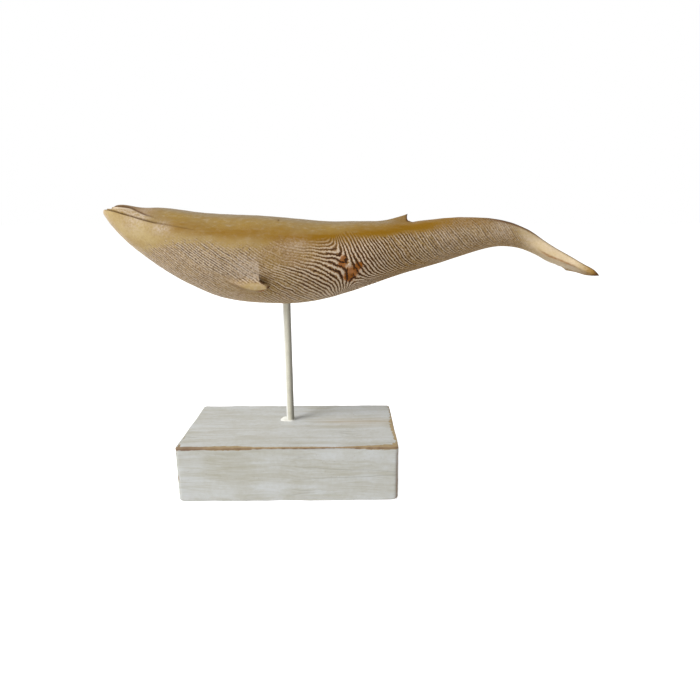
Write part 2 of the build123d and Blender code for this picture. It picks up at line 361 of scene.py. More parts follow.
def ripple(x, y, z, wave, seed):
    """Gentle unevenness, about -1 to 1: the mean of eight plane sine waves, doubled.

    Their directions, lengths round the given wave and phases come from a seeded draw.
    """
    draw = np.random.default_rng(seed)
    total = 0
    for _ in range(8):
        heading = draw.normal(size=3)
        heading /= np.linalg.norm(heading)
        run = (x * heading[0] + y * heading[1] + z * heading[2]) / (wave * draw.uniform(0.7, 1.6))
        total = total + np.sin(2 * math.pi * (run + draw.uniform()))
    return total / 4


def spline_through(knots, values, places):
    """Natural cubic spline.

    The bends at the knots solve the usual three-band system. Between two knots, with
    shares a and b of the gap h, the value is a·y0 + b·y1 + ((a³-a)·m0 + (b³-b)·m1)·h²/6.
    """
    knots, values = np.asarray(knots, float), np.asarray(values, float)
    gap = np.diff(knots)
    count = len(knots)
    inner = np.arange(1, count - 1)
    bands = np.eye(count)
    bands[inner, inner - 1] = gap[:-1]
    bands[inner, inner] = 2 * (gap[:-1] + gap[1:])
    bands[inner, inner + 1] = gap[1:]
    pull = np.zeros(count)
    pull[inner] = 6 * np.diff(np.diff(values) / gap)
    bend = np.linalg.solve(bands, pull)
    at = np.clip(np.searchsorted(knots, places, side="right") - 1, 0, count - 2)
    b = (places - knots[at]) / gap[at]
    a = 1 - b
    straight = a * values[at] + b * values[at + 1]
    return straight + ((a**3 - a) * bend[at] + (b**3 - b) * bend[at + 1]) * gap[at] ** 2 / 6


def solve_rising(function, wanted, low=0.0, high=1.0):
    """Where a rising function takes the wanted values, by halving the range 30 times."""
    low = np.full(np.shape(wanted), low)
    high = np.full(np.shape(wanted), high)
    for _ in range(30):
        middle = (low + high) / 2
        under = function(middle) < wanted
        low = np.where(under, middle, low)
        high = np.where(under, high, middle)
    return (low + high) / 2


# A cross-section: levels of its crown, keel and widest place, its half width, and its
# fullness over and under the widest place
Section = namedtuple("Section", "top low waist side over under")


class CarvedForm:
    """The whale's smooth form, in millimetres.

    A half section is two cubic Bezier quarters, an arch from the crown to the widest
    place and a bowl from there to the keel. q runs from 0 at the crown over one half at
    the widest place to 1 at the keel.
    """

    def __init__(self, sizes):
        self.sizes = sizes
        self.length = sizes.whale_length
        self.height = sizes.whale_height
        self.half_span = sizes.fluke_span / 2
        self.nose_x = WHALE_LOW[0]
        self.joint_x = self.nose_x + JOINT_ALONG * self.length
        self.tip_x = self.nose_x + self.length
        self.belly = WHALE_LOW[2] - BELLY_DEEPER
        trunk, flukes = np.array(TRUNK), np.array(FLUKES)
        trunk[:, 3] *= sizes.body_width / 2
        flukes[:, 3] *= self.half_span
        rows = np.concatenate([trunk, flukes])
        self.knots = np.sqrt(rows[:, 0])
        self.columns = rows[:, 1:].T

    def section(self, x):
        """Top, low and waist levels, half width and the two fullnesses at places x."""
        place = np.sqrt(np.clip((x - self.nose_x) / self.length, 0, None))
        back, keel, side, widest, over, under = [
            spline_through(self.knots, column, place) for column in self.columns
        ]
        top = self.belly + back * self.height
        low = self.belly + keel * self.height
        return Section(top, low, low + widest * (top - low), np.maximum(side, 0.5), over, under)

    def half_ring(self, x, q):
        """How far out and at what level the section's outline is at q."""
        top, low, waist, side, over, under = self.section(x)
        upper = q < 0.5
        t = np.where(upper, 2 * q, 2 * q - 1)
        b0, b1, b2, b3 = (1 - t) ** 3, 3 * t * (1 - t) ** 2, 3 * t * t * (1 - t), t**3
        shoulder = waist + over * (top - waist)
        bilge = waist - under * (waist - low)
        out = np.where(upper, side * (b1 * over + b2 + b3), side * (b0 + b1 + b2 * under))
        arch = (b0 + b1) * top + b2 * shoulder + b3 * waist
        bowl = b0 * waist + b1 * bilge + (b2 + b3) * low
        return out, np.where(upper, arch, bowl)

    def q_at(self, x, z):
        """q where the section at x reaches the level z."""
        return solve_rising(lambda q: -self.half_ring(x, q)[1], -z)

    def flank_out(self, x, z):
        """How far out the smooth flank is at a place and level."""
        return self.half_ring(x, self.q_at(x, z))[0]


def grain_lines(form, x, y, z):
    """Number of the brushed line at each point, as a smooth field, and the knot's nearness.

    Ahead of the flippers the lines fall to the right, steeper towards the head. Behind
    them they spread, flatter over the knot and steeper under it. Right of the knot they
    fall steeply, closer together further back, and flatten over the keel. A logistic
    weight, wider away from the knot, turns one family into the other, so that they
    part round it. Over the knot they part further ahead, the higher they are.
    """
    section = form.section(x)
    turned_under = np.where(z < section.waist, section.side - np.abs(y - MIDDLE_Y), 0)
    knot_lift = KNOT_Z - form.section(np.array([KNOT_X])).low[0]

    def left_of_knot(place, deep):
        behind = soft_rise(place - LINES_TURN_X, 9)
        ahead = soft_rise(LINES_TURN_X - place, 9)
        leaning = deep - 0.52 * behind + 0.62 * ahead + 0.2 * soft_rise(ahead - 50, 9)
        return 0.88 * leaning + 0.45 * soft_rise(place - 5, 8) / (1 + np.exp((deep - 8) / 11))

    def right_of_knot(across, lift):
        gone = np.maximum(across, 0)
        spread = 0.96 * gone - 24.0 * (1 - np.exp(-gone / 45))
        spread = np.where(across > 0, spread, 0.45 * across)
        stiff = 0.62 - 0.32 * np.exp(-gone / 45)
        reach = 5 + 3 * np.exp(-gone / 40)
        return spread + stiff * lift - 1.25 * reach * np.exp(-lift / reach)

    across = x - KNOT_X
    deep = KNOT_Z - z - 0.16 * turned_under
    lift = np.maximum(z - section.low - 0.35 * turned_under, -3)
    left = left_of_knot(x, deep) - left_of_knot(KNOT_X, 0)
    right = right_of_knot(across, lift) - right_of_knot(0, knot_lift)
    parting = across + 0.6 * soft_rise(-deep - 3, 2)
    width = 3.0 + 0.12 * np.maximum(deep, 0) + 0.04 * np.maximum(-deep, 0)
    weight = 1 / (1 + np.exp(-parting / width))
    field = (1 - weight) * left + weight * right
    near_knot = bell(np.hypot(across, 1.2 * (z - KNOT_Z)), 0, 34)
    field = field + 1.3 * ripple(x, y, z, 46, 3) + 0.4 * ripple(x, y, z, 15, 4)
    return field / (form.sizes.grain_pitch * (1 + 0.32 * near_knot**2)), near_knot


def patch(x, z, place, level, reach, wide=1.0, tall=1.0):
    """Patch on the flank: a bell curve over the distance from its middle, scaled each way."""
    return bell(np.hypot(wide * (x - place), tall * (z - level)), 0, reach)


def line_strength(x, z, near_knot):
    """How strongly the brushed lines are cut and stained, round and away from the knot."""
    strength = 0.46 + 0.54 * near_knot + 0.42 * fade(66, 90, x) - 0.3 * fade(130, 200, x)
    strength = strength + 0.45 * fade(-40, -70, x) + 0.24 * bell(x, 14, 34) * fade(222, 212, z)
    ahead, over = FLIPPER_FOOT_X - x, z - FLIPPER_FOOT_Z
    wedge = fade(-4, 4, over - 0.52 * ahead) * fade(-4, 3, 233 - z) * (1 - fade(-40, -12, x))
    strength = strength + 0.4 * wedge * fade(-110, -85, x)
    strength = strength - 0.25 * bell(x, 2, 26) * fade(214, 224, z)
    return strength - 0.3 * fade(8, -4, over - 0.5 * ahead) * (1 - fade(-34, -18, x))


def wood_marks(form, x, y, z):
    """Masks that the carved wood's material reads, each from 0 to 1, and the grain's field."""
    top, low, _, side, _, _ = form.section(x)
    aside = np.abs(y - MIDDLE_Y)
    over_keel = z - low
    wander = 1.4 * ripple(x, y, z, 34, 11)
    lines, near_knot = grain_lines(form, x, y, z)

    # The brushed grain ends softly at its line, on the jaw, under the belly and at the tail
    border = 6.5 + 8 * (1 - fade(-30, 10, x))
    grain = fade(-border, 0.5 * border, level_on(GRAIN_LINE, x) + 1.5 * wander - z)
    grain = grain * fade(-156, -108, x + 0.9 * (232 - z))
    grain = grain * (1 - fade(204, 240, x + 0.5 * (z - 240)))
    grain = grain * (1 - 0.6 * fade(9, 1, over_keel) * fade(0.5, 0.2, aside / side))

    # Head: the pale strip between its carved lines, the jaw under them and the snout over
    over_mouth = z - level_on(MOUTH_LINE, x)
    under_lip = level_on(LIP_LINE, x) - z
    strip = fade(0.3, 1.2, over_mouth) * fade(0.2, 1.2, under_lip) * (1 - fade(-134, -112, x))
    lip = bell(under_lip, 1.5, 0.85) * (1 - fade(-150, -132, x)) * strip + 0.25 * strip
    snout = fade(-0.5, 1.0, -under_lip) * (1 - fade(-136, -104, x))
    jaw = fade(2, -4, over_mouth) * (1 - fade(-128, -52, x))

    # The ochre band with soft borders, and stain on the snout, over the keel and on the tips
    over_ochre = z - level_on(OCHRE_LINE, x) - 0.7 * wander
    reach = np.where(over_ochre > 0, 5.0 + 4.5 * fade(90, 140, x), 6.5)
    ochre = bell(over_ochre, 0, reach) * fade(-128, -84, x) * (1 - fade(178, 208, x))
    ochre = np.maximum(ochre * (0.72 + 0.28 * fade(-30, 20, x)), 0.5 * snout)
    stalk = (0.16 + 0.3 * fade(15, 5, over_keel)) * fade(64, 100, x) * (1 - fade(205, 228, x))
    ochre = np.maximum(np.maximum(ochre, stalk), 0.9 * fade(262, 272, x))
    cheek = (1 - fade(-24, 10, x)) * fade(-2, -8, over_ochre)

    # Pale wash, in patches, in the grain of the cheek and tail and low on the jaw, and painted
    # bounce light low on the belly
    bloom = 0.5 * strip + (0.5 * fade(-10, -60, x) + 0.3 * fade(110, 150, x)) * grain
    for place, level, reach, tall, share in BLOOM_PATCHES:
        bloom = bloom + share * patch(x, z, place, level, reach, tall=tall)
    bloom = bloom + 0.5 * fade(13, 3, over_keel) * (1 - fade(-120, -96, x))
    over_blade = z - level_on(BLADE_FACET, x)
    beside_blade = fade(-66, -34, x) * fade(-21.2, -22.6, x)
    beside_blade = beside_blade * fade(-1, 4, over_blade) * fade(30, 12, over_blade)
    # Painted bounce light: lighter low on the belly, near the keel
    bloom = np.maximum(bloom, beside_blade) + 0.42 * fade(16, 3, over_keel) * fade(80, 40, x)

    # Tail: cream wood, a stained line along its crown, widened on the far side by painted shade,
    # and a faint edge along its side
    cream = fade(-14, 22, x - CREAM_START - 0.7 * (246 - z)) * (1 - 0.8 * fade(258, 274, x))
    arris = bell(z, level_on(ARRIS_LINE, x), 0.9) * fade(176, 196, x) * (1 - fade(250, 266, x))
    crown_reach = (2.2 + 3 * fade(-1, 1, y - MIDDLE_Y)) * (1 - 0.25 * fade(236, 256, x))
    crown_stain_and_far_shade = bell(z, top, crown_reach) * fade(166, 212, x)
    rust = sum(patch(x, z, *spot, wide=0.85) for spot in RUST_SPOTS)
    return {
        "grain_lines": lines,
        "grain": grain,
        "line_strength": line_strength(x, z, near_knot),
        "near_knot": near_knot,
        "ochre": ochre,
        "jaw": np.maximum(jaw, 0.35 * cheek),
        "cream": np.maximum(cream, lip),
        "bloom": np.minimum(bloom, 1),
        "rust": np.clip(rust + 0.4 * arris + 0.25 * snout, 0, 1),
        # Painted sheen: greyer along the crown of the back and tail
        "weathered": fade(-7, -0.5, z - top) * fade(0.62, 0.2, aside / side),
        "soot": np.maximum(0.25 * arris, crown_stain_and_far_shade) + 0.26 * snout,
    }


def lay_mesh(name, points, faces, marks=None, sharp_over=None):
    """New object of the given points, in millimetres, with one value per point in each mark."""
    mesh = bpy.data.meshes.new(name)
    mesh.from_pydata((np.asarray(points).reshape(-1, 3) * MM).tolist(), [], faces)
    mesh.shade_smooth()
    if sharp_over is not None:
        mesh.set_sharp_from_angle(angle=math.radians(sharp_over))
    for key, values in (marks or {}).items():
        layer = mesh.attributes.new(key, "FLOAT", "POINT")
        layer.data.foreach_set("value", np.asarray(values, dtype=np.float32).ravel())
    mesh.validate()
    made = bpy.data.objects.new(name, mesh)
    bpy.context.scene.collection.objects.link(made)
    return made


def grid_faces(rows, columns, wrap_rows=False, wrap_columns=True):
    """Four-sided faces between neighbouring points of a grid, in rows."""
    row, column = np.meshgrid(
        np.arange(rows if wrap_rows else rows - 1),
        np.arange(columns if wrap_columns else columns - 1),
        indexing="ij",
    )
    below, beside = (row + 1) % rows, (column + 1) % columns
    corners = [(row, column), (row, beside), (below, beside), (below, column)]
    return np.stack([r * columns + c for r, c in corners], -1).reshape(-1, 4).tolist()


def fan_faces(ring, pole, reverse=False):
    """Three-sided faces from a closed ring of point numbers to a pole."""
    beside = np.roll(ring, -1)
    pair = (ring, beside) if reverse else (beside, ring)
    return np.stack([*pair, np.full(len(ring), pole)], -1).tolist()


def capped_grid(grid, first_pole, last_pole):
    """Points and faces of a tube of rings, closed by a pole beyond its first and last."""
    rows, columns = grid.shape[:2]
    count = rows * columns
    points = np.concatenate([grid.reshape(-1, 3), [first_pole, last_pole]])
    faces = grid_faces(rows, columns) + fan_faces(np.arange(columns), count)
    faces += fan_faces(np.arange(count - columns, count), count + 1, reverse=True)
    return points, faces


def pole_marks(marks, *rows):
    """Flat marks of a grid, with a value for each pole from the row beside it."""
    return {key: np.append(value.ravel(), value[list(rows), 0]) for key, value in marks.items()}


def surface_normals(grid):
    """Outward unit normals of a grid whose columns run round it: round times along."""
    around = np.roll(grid, -1, axis=1) - np.roll(grid, 1, axis=1)
    along = np.gradient(grid, axis=0)
    normal = np.cross(around, along)
    return normal / np.maximum(np.linalg.norm(normal, axis=2, keepdims=True), 1e-9)


def whole_ring(x, out, level):
    """Turns half rings into whole ones: down the near flank and up the far one."""
    y = np.concatenate([MIDDLE_Y - out, (MIDDLE_Y + out)[:, -2:0:-1]], axis=1)
    z = np.concatenate([level, level[:, -2:0:-1]], axis=1)
    return np.stack([np.broadcast_to(x, y.shape), y, z], axis=2)


def skin_rows(form):
    """Places of the skin's rings: one each millimetre, closer at the snout, fin and knot.

    The count up to x is x plus a tanh for each crowded place, solved for whole numbers.
    """
    # Middle, reach and number of extra rings
    crowded = [(-168, 6, 12), (-157.5, 7, 17), (FIN_TIP_X + 0.4, 1.8, 11), (KNOT_X, 42, 12)]

    def count(x):
        extra = sum(rings * np.tanh((x - place) / reach) for place, reach, rings in crowded)
        return 0.98 * (x - form.nose_x) + extra

    start, end = form.nose_x + NOSE_TRIM + 1.0, form.joint_x
    first, last = count(start), count(end)
    wanted = np.linspace(first, last, round(last - first) + 1)
    places = solve_rising(count, wanted, start, end)
    places[0], places[-1] = start, end
    return places


def crowded_q(form, x):
    """q of each point of each half ring, closer together at the mouth, lip and fin."""
    head = 1 - fade(-84, -60, x)
    fin = bell(x, FIN_TIP_X - 8, 22)
    # Each carved line, with the share of a half ring's points that crowd round it
    lines = [(MOUTH_LINE, 0.075), (LIP_LINE, 0.045)]
    grooves = [(form.q_at(x, level_on(line, x)), extra) for line, extra in lines]

    def count(q):
        total = q + (0.10 * fin + 0.03 * head) * np.tanh(q / 0.05)
        for groove, extra in grooves:
            total = total + head * extra * (np.tanh((q - groove) / 0.03) + np.tanh(groove / 0.03))
        return total

    share = np.linspace(0, 1, SKIN_HALF_RING + 1)[None, :]
    q = solve_rising(count, share * count(np.ones_like(x)))
    q[:, 0], q[:, -1] = 0, 1
    return q


def head_relief(form, x, z):
    """Relief of the head: two grooves, the lip's swell between them and a low brow."""
    over_mouth = z - level_on(MOUTH_LINE, x)
    over_lip = z - level_on(LIP_LINE, x)
    near_mouth = 1 - fade(-122, -90, x)
    near_lip = 1 - fade(-126, -100, x)
    mouth = bell(over_mouth, 0, 0.62) * (0.25 + 0.75 * near_mouth) * (1 - fade(-90, -76, x))
    lip = bell(over_lip, -0.2, 0.6) * near_lip * fade(-163, -160, x)
    swell = fade(0, 1.2, over_mouth) * fade(0, 1.0, -over_lip) * near_lip
    brow = fade(0, 1.2, over_mouth) * (1 - fade(1.5, 9, over_mouth))
    brow = brow * near_mouth * fade(-160, -150, x)
    return 0.25 * swell + 0.45 * brow - form.sizes.mouth_depth * mouth - form.sizes.lip_depth * lip


def fin_blade(form, behind, aside):
    """Share of the fin's height: a power of the way up its slope, and a steep rear edge.

    Across the back it is a narrow bell curve with a wide one under it.
    """
    rise = np.clip(1 + behind / form.sizes.fin_length, 0, 1) ** 1.55
    rear_edge = 1 - 0.86 * fade(0, 1.1, behind) - 0.14 * fade(0.8, 5.0, behind)
    rise = np.where(behind > 0, rear_edge, rise)
    return (0.88 * bell(aside, 0, 1.5 + 1.6 * (1 - rise)) + 0.12 * bell(aside, 0, 5.5)) * rise


def carve_skin(form, grid):
    """Moves the smooth skin's points: carved lines, dorsal fin, snout's front and relief."""
    x, y, z = np.moveaxis(grid, 2, 0)
    aside = np.abs(y - MIDDLE_Y)
    over_mouth, over_lip = z - level_on(MOUTH_LINE, x), z - level_on(LIP_LINE, x)

    out = head_relief(form, x, z) - 0.5 * patch(x, z, -16, 203, 5)
    uneven = 0.22 * ripple(x, y, z, 38, 21) + 0.10 * ripple(x, y, z, 13, 22)
    out = out + uneven * fade(-166, -150, x)
    lines, near_knot = grain_lines(form, x, y, z)
    relief = form.sizes.grain_relief * 0.5 * near_knot * np.sin(TURN * lines)
    out = out + relief * fade(0, 3, level_on(GRAIN_LINE, x) - z)
    moved = grid + surface_normals(grid) * out[..., None]

    behind = x - FIN_TIP_X
    blade = fin_blade(form, behind, aside)
    crown = fade(0.0, 6.0, z - form.section(x).waist)
    dip = 0.7 * bell(behind, 5.2, 3.4) * bell(aside, 0, 7)
    moved[..., 2] += (form.sizes.fin_height * blade - dip) * crown
    lean = np.where(behind > -0.4, np.sin(math.pi * np.clip(blade, 0, 1)), 0)
    moved[..., 0] -= 1.2 * lean * crown

    # Over the jaw the snout begins behind a curved front
    over_jaw = moved[..., 2] - JAW_TOP
    front = SNOUT_FRONT + 9 * (aside / 12) ** 2
    kept = fade(0, 1.1, moved[..., 0] - front)
    moved[..., 2] = np.where(over_jaw > 0, JAW_TOP + over_jaw * kept, moved[..., 2])

    # Stain with painted shade: darker in the mouth and lip lines, along the fin's rear edge and in
    # the dip behind it, with a small dark speck
    soot = (
        0.8 * bell(over_mouth, 0, 0.48) * (1 - 0.5 * fade(-126, -104, x)) * (1 - fade(-88, -72, x))
        + 0.85 * bell(over_lip, 0.1, 0.8) * (1 - fade(-128, -108, x)) * fade(-162, -158, x)
        + 1.6 * fade(0.02, 0.12, blade) * bell(behind, 0.3, 1.5)
        + 0.9 * bell(behind, 3.0, 3.0) * bell(aside, 0, 4.5) * crown
        + patch(x, z, *DARK_SPECK)
    )
    # Painted shade: a dim patch on the flank just behind the flipper's trailing edge
    shade = 0.8 * fade(-23.5, -21.5, x) * patch(x, z, -18.5, 204.5, 4, tall=0.8)
    return moved, np.minimum(1, soot), shade


def make_skin(form):
    """The whale's skin from its nose to the joint with the flukes, closed at both ends.

    The nose is a cap: the first ring shrinks with the sine of an angle while its place
    goes forward with the cosine.
    """
    x = skin_rows(form)[:, None]
    rings = whole_ring(x, *form.half_ring(x, crowded_q(form, x)))
    angle = NOSE_ANGLES[:, None, None]
    core = rings[0].mean(axis=0)
    cap = core + (rings[0] - core)[None] * np.sin(angle)
    cap[..., 0] -= np.cos(angle[..., 0])
    smooth = np.concatenate([cap, rings])
    grid, soot, shade = carve_skin(form, smooth)
    marks = wood_marks(form, *np.moveaxis(smooth, 2, 0))
    marks["soot"] = np.maximum(marks["soot"], soot)
    marks["shade"] = shade
    nose = np.array([form.nose_x + NOSE_TRIM, MIDDLE_Y, core[2]])
    points, faces = capped_grid(grid, nose, grid[-1].mean(axis=0))
    return lay_mesh("whale_skin", points, faces, pole_marks(marks, 0, -1), sharp_over=60)


def zipped_end(rows, columns):
    """Faces that shut the last ring, each point of the arch against the one under it."""
    half = columns // 2
    step = np.arange(half // 2)
    near = np.stack([step, step + 1, half - step - 1, half - step], -1)
    far = np.stack([columns - step - 1, columns - step, half + step, half + step + 1], -1)
    corners = (np.concatenate([near, far]) % columns).tolist()
    # Where two corners of a face are the same point, it has three
    faces = [[v for i, v in enumerate(face) if v not in face[:i]] for face in corners]
    last = (rows - 1) * columns
    return [[last + v for v in face] for face in faces if len(face) > 2]


def fluke_marks(form, x, y, z, sideways):
    """The wood's masks: brown staining on the flukes' underside and tips, staining with painted
    shade along the crown and on the far lobe, and painted shade on the underside.
    """
    marks = wood_marks(form, x, y, z)
    far, over_waist = y - MIDDLE_Y, fade(-1, 1, z - form.section(x).waist)
    under_line = z - level_on(FLUKE_LINE, x)
    lower = bell(under_line, -0.2, 1.4)
    # Staining with painted shade: darker along the middle towards the far side and over the far
    # lobe's outer part
    crown = bell(far, 5, 6) * over_waist * fade(240, 252, x)
    lobe = fade(0.7, 0.9, sideways) * fade(-1, 1, far) * fade(240, 250, x)
    rim = fade(271.5, 274.6, x) * fade(0.55, 0.95, sideways)
    stain_and_far_shade = 0.06 * lower * fade(222, 234, x) + np.maximum(crown, lobe) + rim
    rust = 0.44 * lower * fade(228, 242, x) * (1 - 0.7 * fade(256, 270, x))
    marks["soot"] = np.maximum(marks["soot"], np.minimum(1, stain_and_far_shade))
    marks["rust"] = np.maximum(marks["rust"], rust)
    # Painted shade: the flukes' underside darker under their brown line
    marks["shade"] = 0.16 * fade(0.5, -2.5, under_line)
    marks["bloom"] = np.maximum(marks["bloom"], 0.4 * fade(0.5, -2.0, under_line))
    return marks


def make_flukes(form):
    """The flukes from the joint back, with a notched, rounded trailing edge.

    The edge is moved forward by the notch's depth times a spline of the distance
    sideways, growing with the cube of the way back. At the end each ring flattens
    with the cosine of an angle as it goes back with the sine.
    """
    start, tip = form.joint_x, form.tip_x
    x = np.linspace(start, tip - TRAIL_ROUND, FLUKE_RINGS)[:, None]
    q = np.linspace(0, 1, FLUKE_HALF_RING)[None, :]
    out, level = form.half_ring(x, q)
    angle = TRAIL_ANGLES[:, None]
    share = np.sin(angle)
    waist = form.section(x[-1:]).waist
    end_waist = waist + share * (form.section(np.array([[tip]])).waist - waist)
    end_out = out[-1:] + share * (form.half_ring(np.array([[tip]]), q)[0] - out[-1:])
    end_level = end_waist + np.cos(angle) * (level[-1:] - waist)
    smooth = whole_ring(
        np.concatenate([x, tip - TRAIL_ROUND * (1 - share)]),
        np.concatenate([out, end_out]),
        np.concatenate([level, end_level]),
    )
    x, y, z = np.moveaxis(smooth, 2, 0)
    sideways = np.abs(y - MIDDLE_Y) / form.half_span
    places, forward = np.array(TRAILING).T
    cut = spline_through(places, forward, np.clip(sideways, 0, 1.02)) * form.sizes.notch_depth
    back = np.clip((x - start - 12) / (tip - start - 12), 0, 1)
    moved = smooth.copy()
    moved[..., 0] -= cut * back**3
    moved[..., 2] += LOBE_DROOP * (y - MIDDLE_Y) * fade(start + 2, tip, x)
    uneven = 0.2 * ripple(x, y, z, 30, 31) * fade(start + 1, start + 12, x)
    moved += surface_normals(moved) * uneven[..., None]
    rows, columns = moved.shape[:2]
    points = np.concatenate([moved.reshape(-1, 3), [moved[0].mean(axis=0)]])
    faces = grid_faces(rows, columns) + fan_faces(np.arange(columns), rows * columns)
    faces += zipped_end(rows, columns)
    marks = pole_marks(fluke_marks(form, x, y, z, sideways), 0)
    return lay_mesh("tail_fin", points, faces, marks, sharp_over=50)


def blade_stand(x, z, flank, to_trail):
    """How far the blade stands out of the flank.

    The tilted plane of the blade, bent in by a facet over the ridge, steps smoothly out
    of the flank: half the sum of the stand and the root of its square plus a softness.
    Under the ridge it returns with a sine. It fades towards the front and the top, less
    a little, so that the thin edge dips inside the skin.
    """
    plane = BLADE_ANCHOR[1] - (BLADE_ANCHOR[2] - z) * math.tan(BLADE_DROOP)
    plane = plane - (x - BLADE_ANCHOR[0]) * math.tan(BLADE_SPLAY)
    plane = plane + FACET_TILT * np.clip(level_on(BLADE_FACET, x) - z, 0, None)
    stand = flank - plane
    stand = 0.5 * (stand + np.sqrt(stand**2 + 9))
    over_foot = (z - level_on(BLADE_RIDGE, x) + RIDGE_FALL) / RIDGE_FALL
    stand = stand * np.sin(np.clip(over_foot, 0, 1) * math.pi / 2)
    stand = stand * (1 - 0.12 * np.exp(-to_trail / 0.5)) * (0.4 + 0.6 * fade(207, 200, z))
    return stand * fade(0, 44, x - BLADE_FRONT) * fade(216, 202, z) - EDGE_DIP


def flipper_marks(form, x, flank, z, to_trail):
    """The wood's masks: the facet's bare wood, orange wood and painted shade under the ridge, and
    painted shade darkening the trailing edge and the tip.
    """
    marks = wood_marks(form, x, flank, z)
    facet = fade(-1.2, 1.6, level_on(BLADE_FACET, x) - z) * fade(-44, -27, x)
    below = fade(0.2, -1.5, z - level_on(BLADE_RIDGE, x))
    # Painted shade along the trailing edge
    trailing = 0.6 * np.exp(-to_trail / 0.35) * fade(201, 204, z) * fade(216, 210, z)
    marks["grain"] = marks["grain"] * (1 - facet)
    marks["jaw"] = np.maximum(marks["jaw"], 0.6 * facet * (1 - below))
    marks["bloom"] = np.maximum(marks["bloom"], 0.45 * facet)
    # Painted shade darkens the tip and the trailing edge
    marks["soot"] = np.minimum(1, marks["soot"] + patch(x, z, -14.0, 199.2, 1.5) + trailing)
    marks["rust"] = np.maximum(marks["rust"], 0.7 * below * fade(-30, -18, x))
    # Painted shade under the ridge and, fainter, on the facet
    marks["shade"] = 0.5 * below + 0.12 * facet
    return {key: np.tile(value.ravel(), 2) for key, value in marks.items()}


def make_flipper(form, name, far_side):
    """A carved blade: outer sheet over the flank, inner sheet inside it and a rim between."""
    level = np.linspace(BLADE_TOP, BLADE_BOTTOM, BLADE_ROWS)[:, None]
    trail = level_on(BLADE_TRAIL, level)
    share = np.linspace(0, 1, BLADE_COLUMNS)[None, :]
    x = BLADE_FRONT + (trail - BLADE_FRONT) * (1 - (1 - share) ** 1.25)
    z = np.broadcast_to(level, x.shape)
    flank = MIDDLE_Y - form.flank_out(x, z)
    stand = blade_stand(x, z, flank, trail - x)
    outer = flank - stand
    inner = np.maximum(flank, outer) + BLADE_THICK
    outer = outer - 0.12 * ripple(x, outer, z, 16, 41) * fade(0.6, 2.5, stand)
    sheets = np.stack([np.stack([x, outer, z], 2), np.stack([x, inner, z], 2)])
    if far_side:
        sheets[..., 1] = 2 * MIDDLE_Y - sheets[..., 1]
    count = BLADE_ROWS * BLADE_COLUMNS
    front_faces = np.array(grid_faces(BLADE_ROWS, BLADE_COLUMNS, wrap_columns=False))
    number = np.arange(count).reshape(BLADE_ROWS, BLADE_COLUMNS)
    edge = np.concatenate([number[0], number[1:, -1], number[-1, -2::-1], number[-2:0:-1, 0]])
    beside = np.roll(edge, -1)
    rim = np.stack([beside, edge, edge + count, beside + count], -1)
    faces = np.concatenate([front_faces, front_faces[:, ::-1] + count, rim])
    # Rows go down and columns back, so on the near side the outer sheet faces inward
    # as laid and all faces are turned over; on the far side they already face out.
    if not far_side:
        faces = faces[:, ::-1]
    marks = flipper_marks(form, x, flank, z, trail - x)
    return lay_mesh(name, sheets.reshape(-1, 3), faces.tolist(), marks, sharp_over=38)


def make_rod(sizes):
    """The rod with its stud, a turned profile of radius and level round an upright axis.

    Over the block its paint makes the radius uneven, by a hundredth of a ripple.
    """
    low, high = ROD_LOW[2], ROD_HIGH[2]
    radius, stud = sizes.rod_diameter / 2, sizes.stud_diameter / 2
    levels = np.linspace(BLOCK_TOP + 0.4, high - 0.6, SHAFT_RINGS)
    profile = [
        (stud - 0.6, low),
        (stud, low + 0.6),
        (stud, BLOCK_TOP - 0.2),
        (stud, BLOCK_TOP + 0.02),
        (radius - 0.3, BLOCK_TOP + 0.02),
        (radius - 0.05, BLOCK_TOP + 0.15),
        *((radius, level) for level in levels),
        (radius - 0.2, high - 0.2),
        (radius - 0.6, high),
    ]
    reach, level = np.array(profile).T[..., None]
    angle = np.linspace(0, TURN, SHAFT_POINTS, endpoint=False)
    lumps = ripple(8 * np.cos(angle), 8 * np.sin(angle), level, 26, 51)
    reach = reach * (1 + 0.013 * lumps * fade(BLOCK_TOP, BLOCK_TOP + 4, level))
    x, y = ROD_X + reach * np.cos(angle), MIDDLE_Y + reach * np.sin(angle)
    grid = np.stack([x, y, np.broadcast_to(level, x.shape)], 2)
    points, faces = capped_grid(grid, (ROD_X, MIDDLE_Y, low), (ROD_X, MIDDLE_Y, high))
    # A painted highlight on the left, and painted shade on the right and just under the belly
    facing = (points[:, 0] - ROD_X) / radius
    under_belly_shade = 0.5 * fade(high - 16, high - 11, points[:, 2]) * fade(-0.9, 0.2, facing)
    marks = {
        "grime": np.maximum(fade(-0.1, 1.05, facing), under_belly_shade),
        "thick_paint": fade(-0.4, -0.85, facing),
    }
    return lay_mesh("painted_rod", points, faces, marks, sharp_over=40)


def make_filler(sizes):
    """Filler round the rod's foot: a hollow-sided ring with a lump smeared to the left.

    Its level is a power of the way in from its border, plus a sine on the lump.
    """
    angle = np.linspace(0, TURN, FILLER_POINTS, endpoint=False)[None, :]
    share = np.linspace(0, 1, FILLER_RINGS)[:, None]
    left = bell(angle, math.pi * 1.02, 0.62)
    uneven = ripple(9 * np.cos(angle), 9 * np.sin(angle), 0 * angle, 7, 61)
    reach = sizes.bead_width * (0.2 + 1.85 * left + 0.1 * uneven)
    tall = sizes.bead_height * (0.5 + 0.6 * left + 0.15 * uneven)
    lump = 1.7 * left * np.sin(math.pi * share) ** 0.7
    level = tall * share ** (1.9 - 0.5 * left) + lump * (1 + 0.3 * uneven)
    # The last row is the border against the rod, just inside the block
    inside = sizes.rod_diameter / 2 - 0.05
    out = inside + np.concatenate([reach * (1 - share), 0 * angle])
    level = BLOCK_TOP + np.concatenate([level, 0 * angle - 0.05])
    grid = np.stack([ROD_X + out * np.cos(angle), MIDDLE_Y + out * np.sin(angle), level], 2)
    faces = grid_faces(*grid.shape[:2], wrap_rows=True)
    return lay_mesh("foot_filler", grid, faces, sharp_over=70)


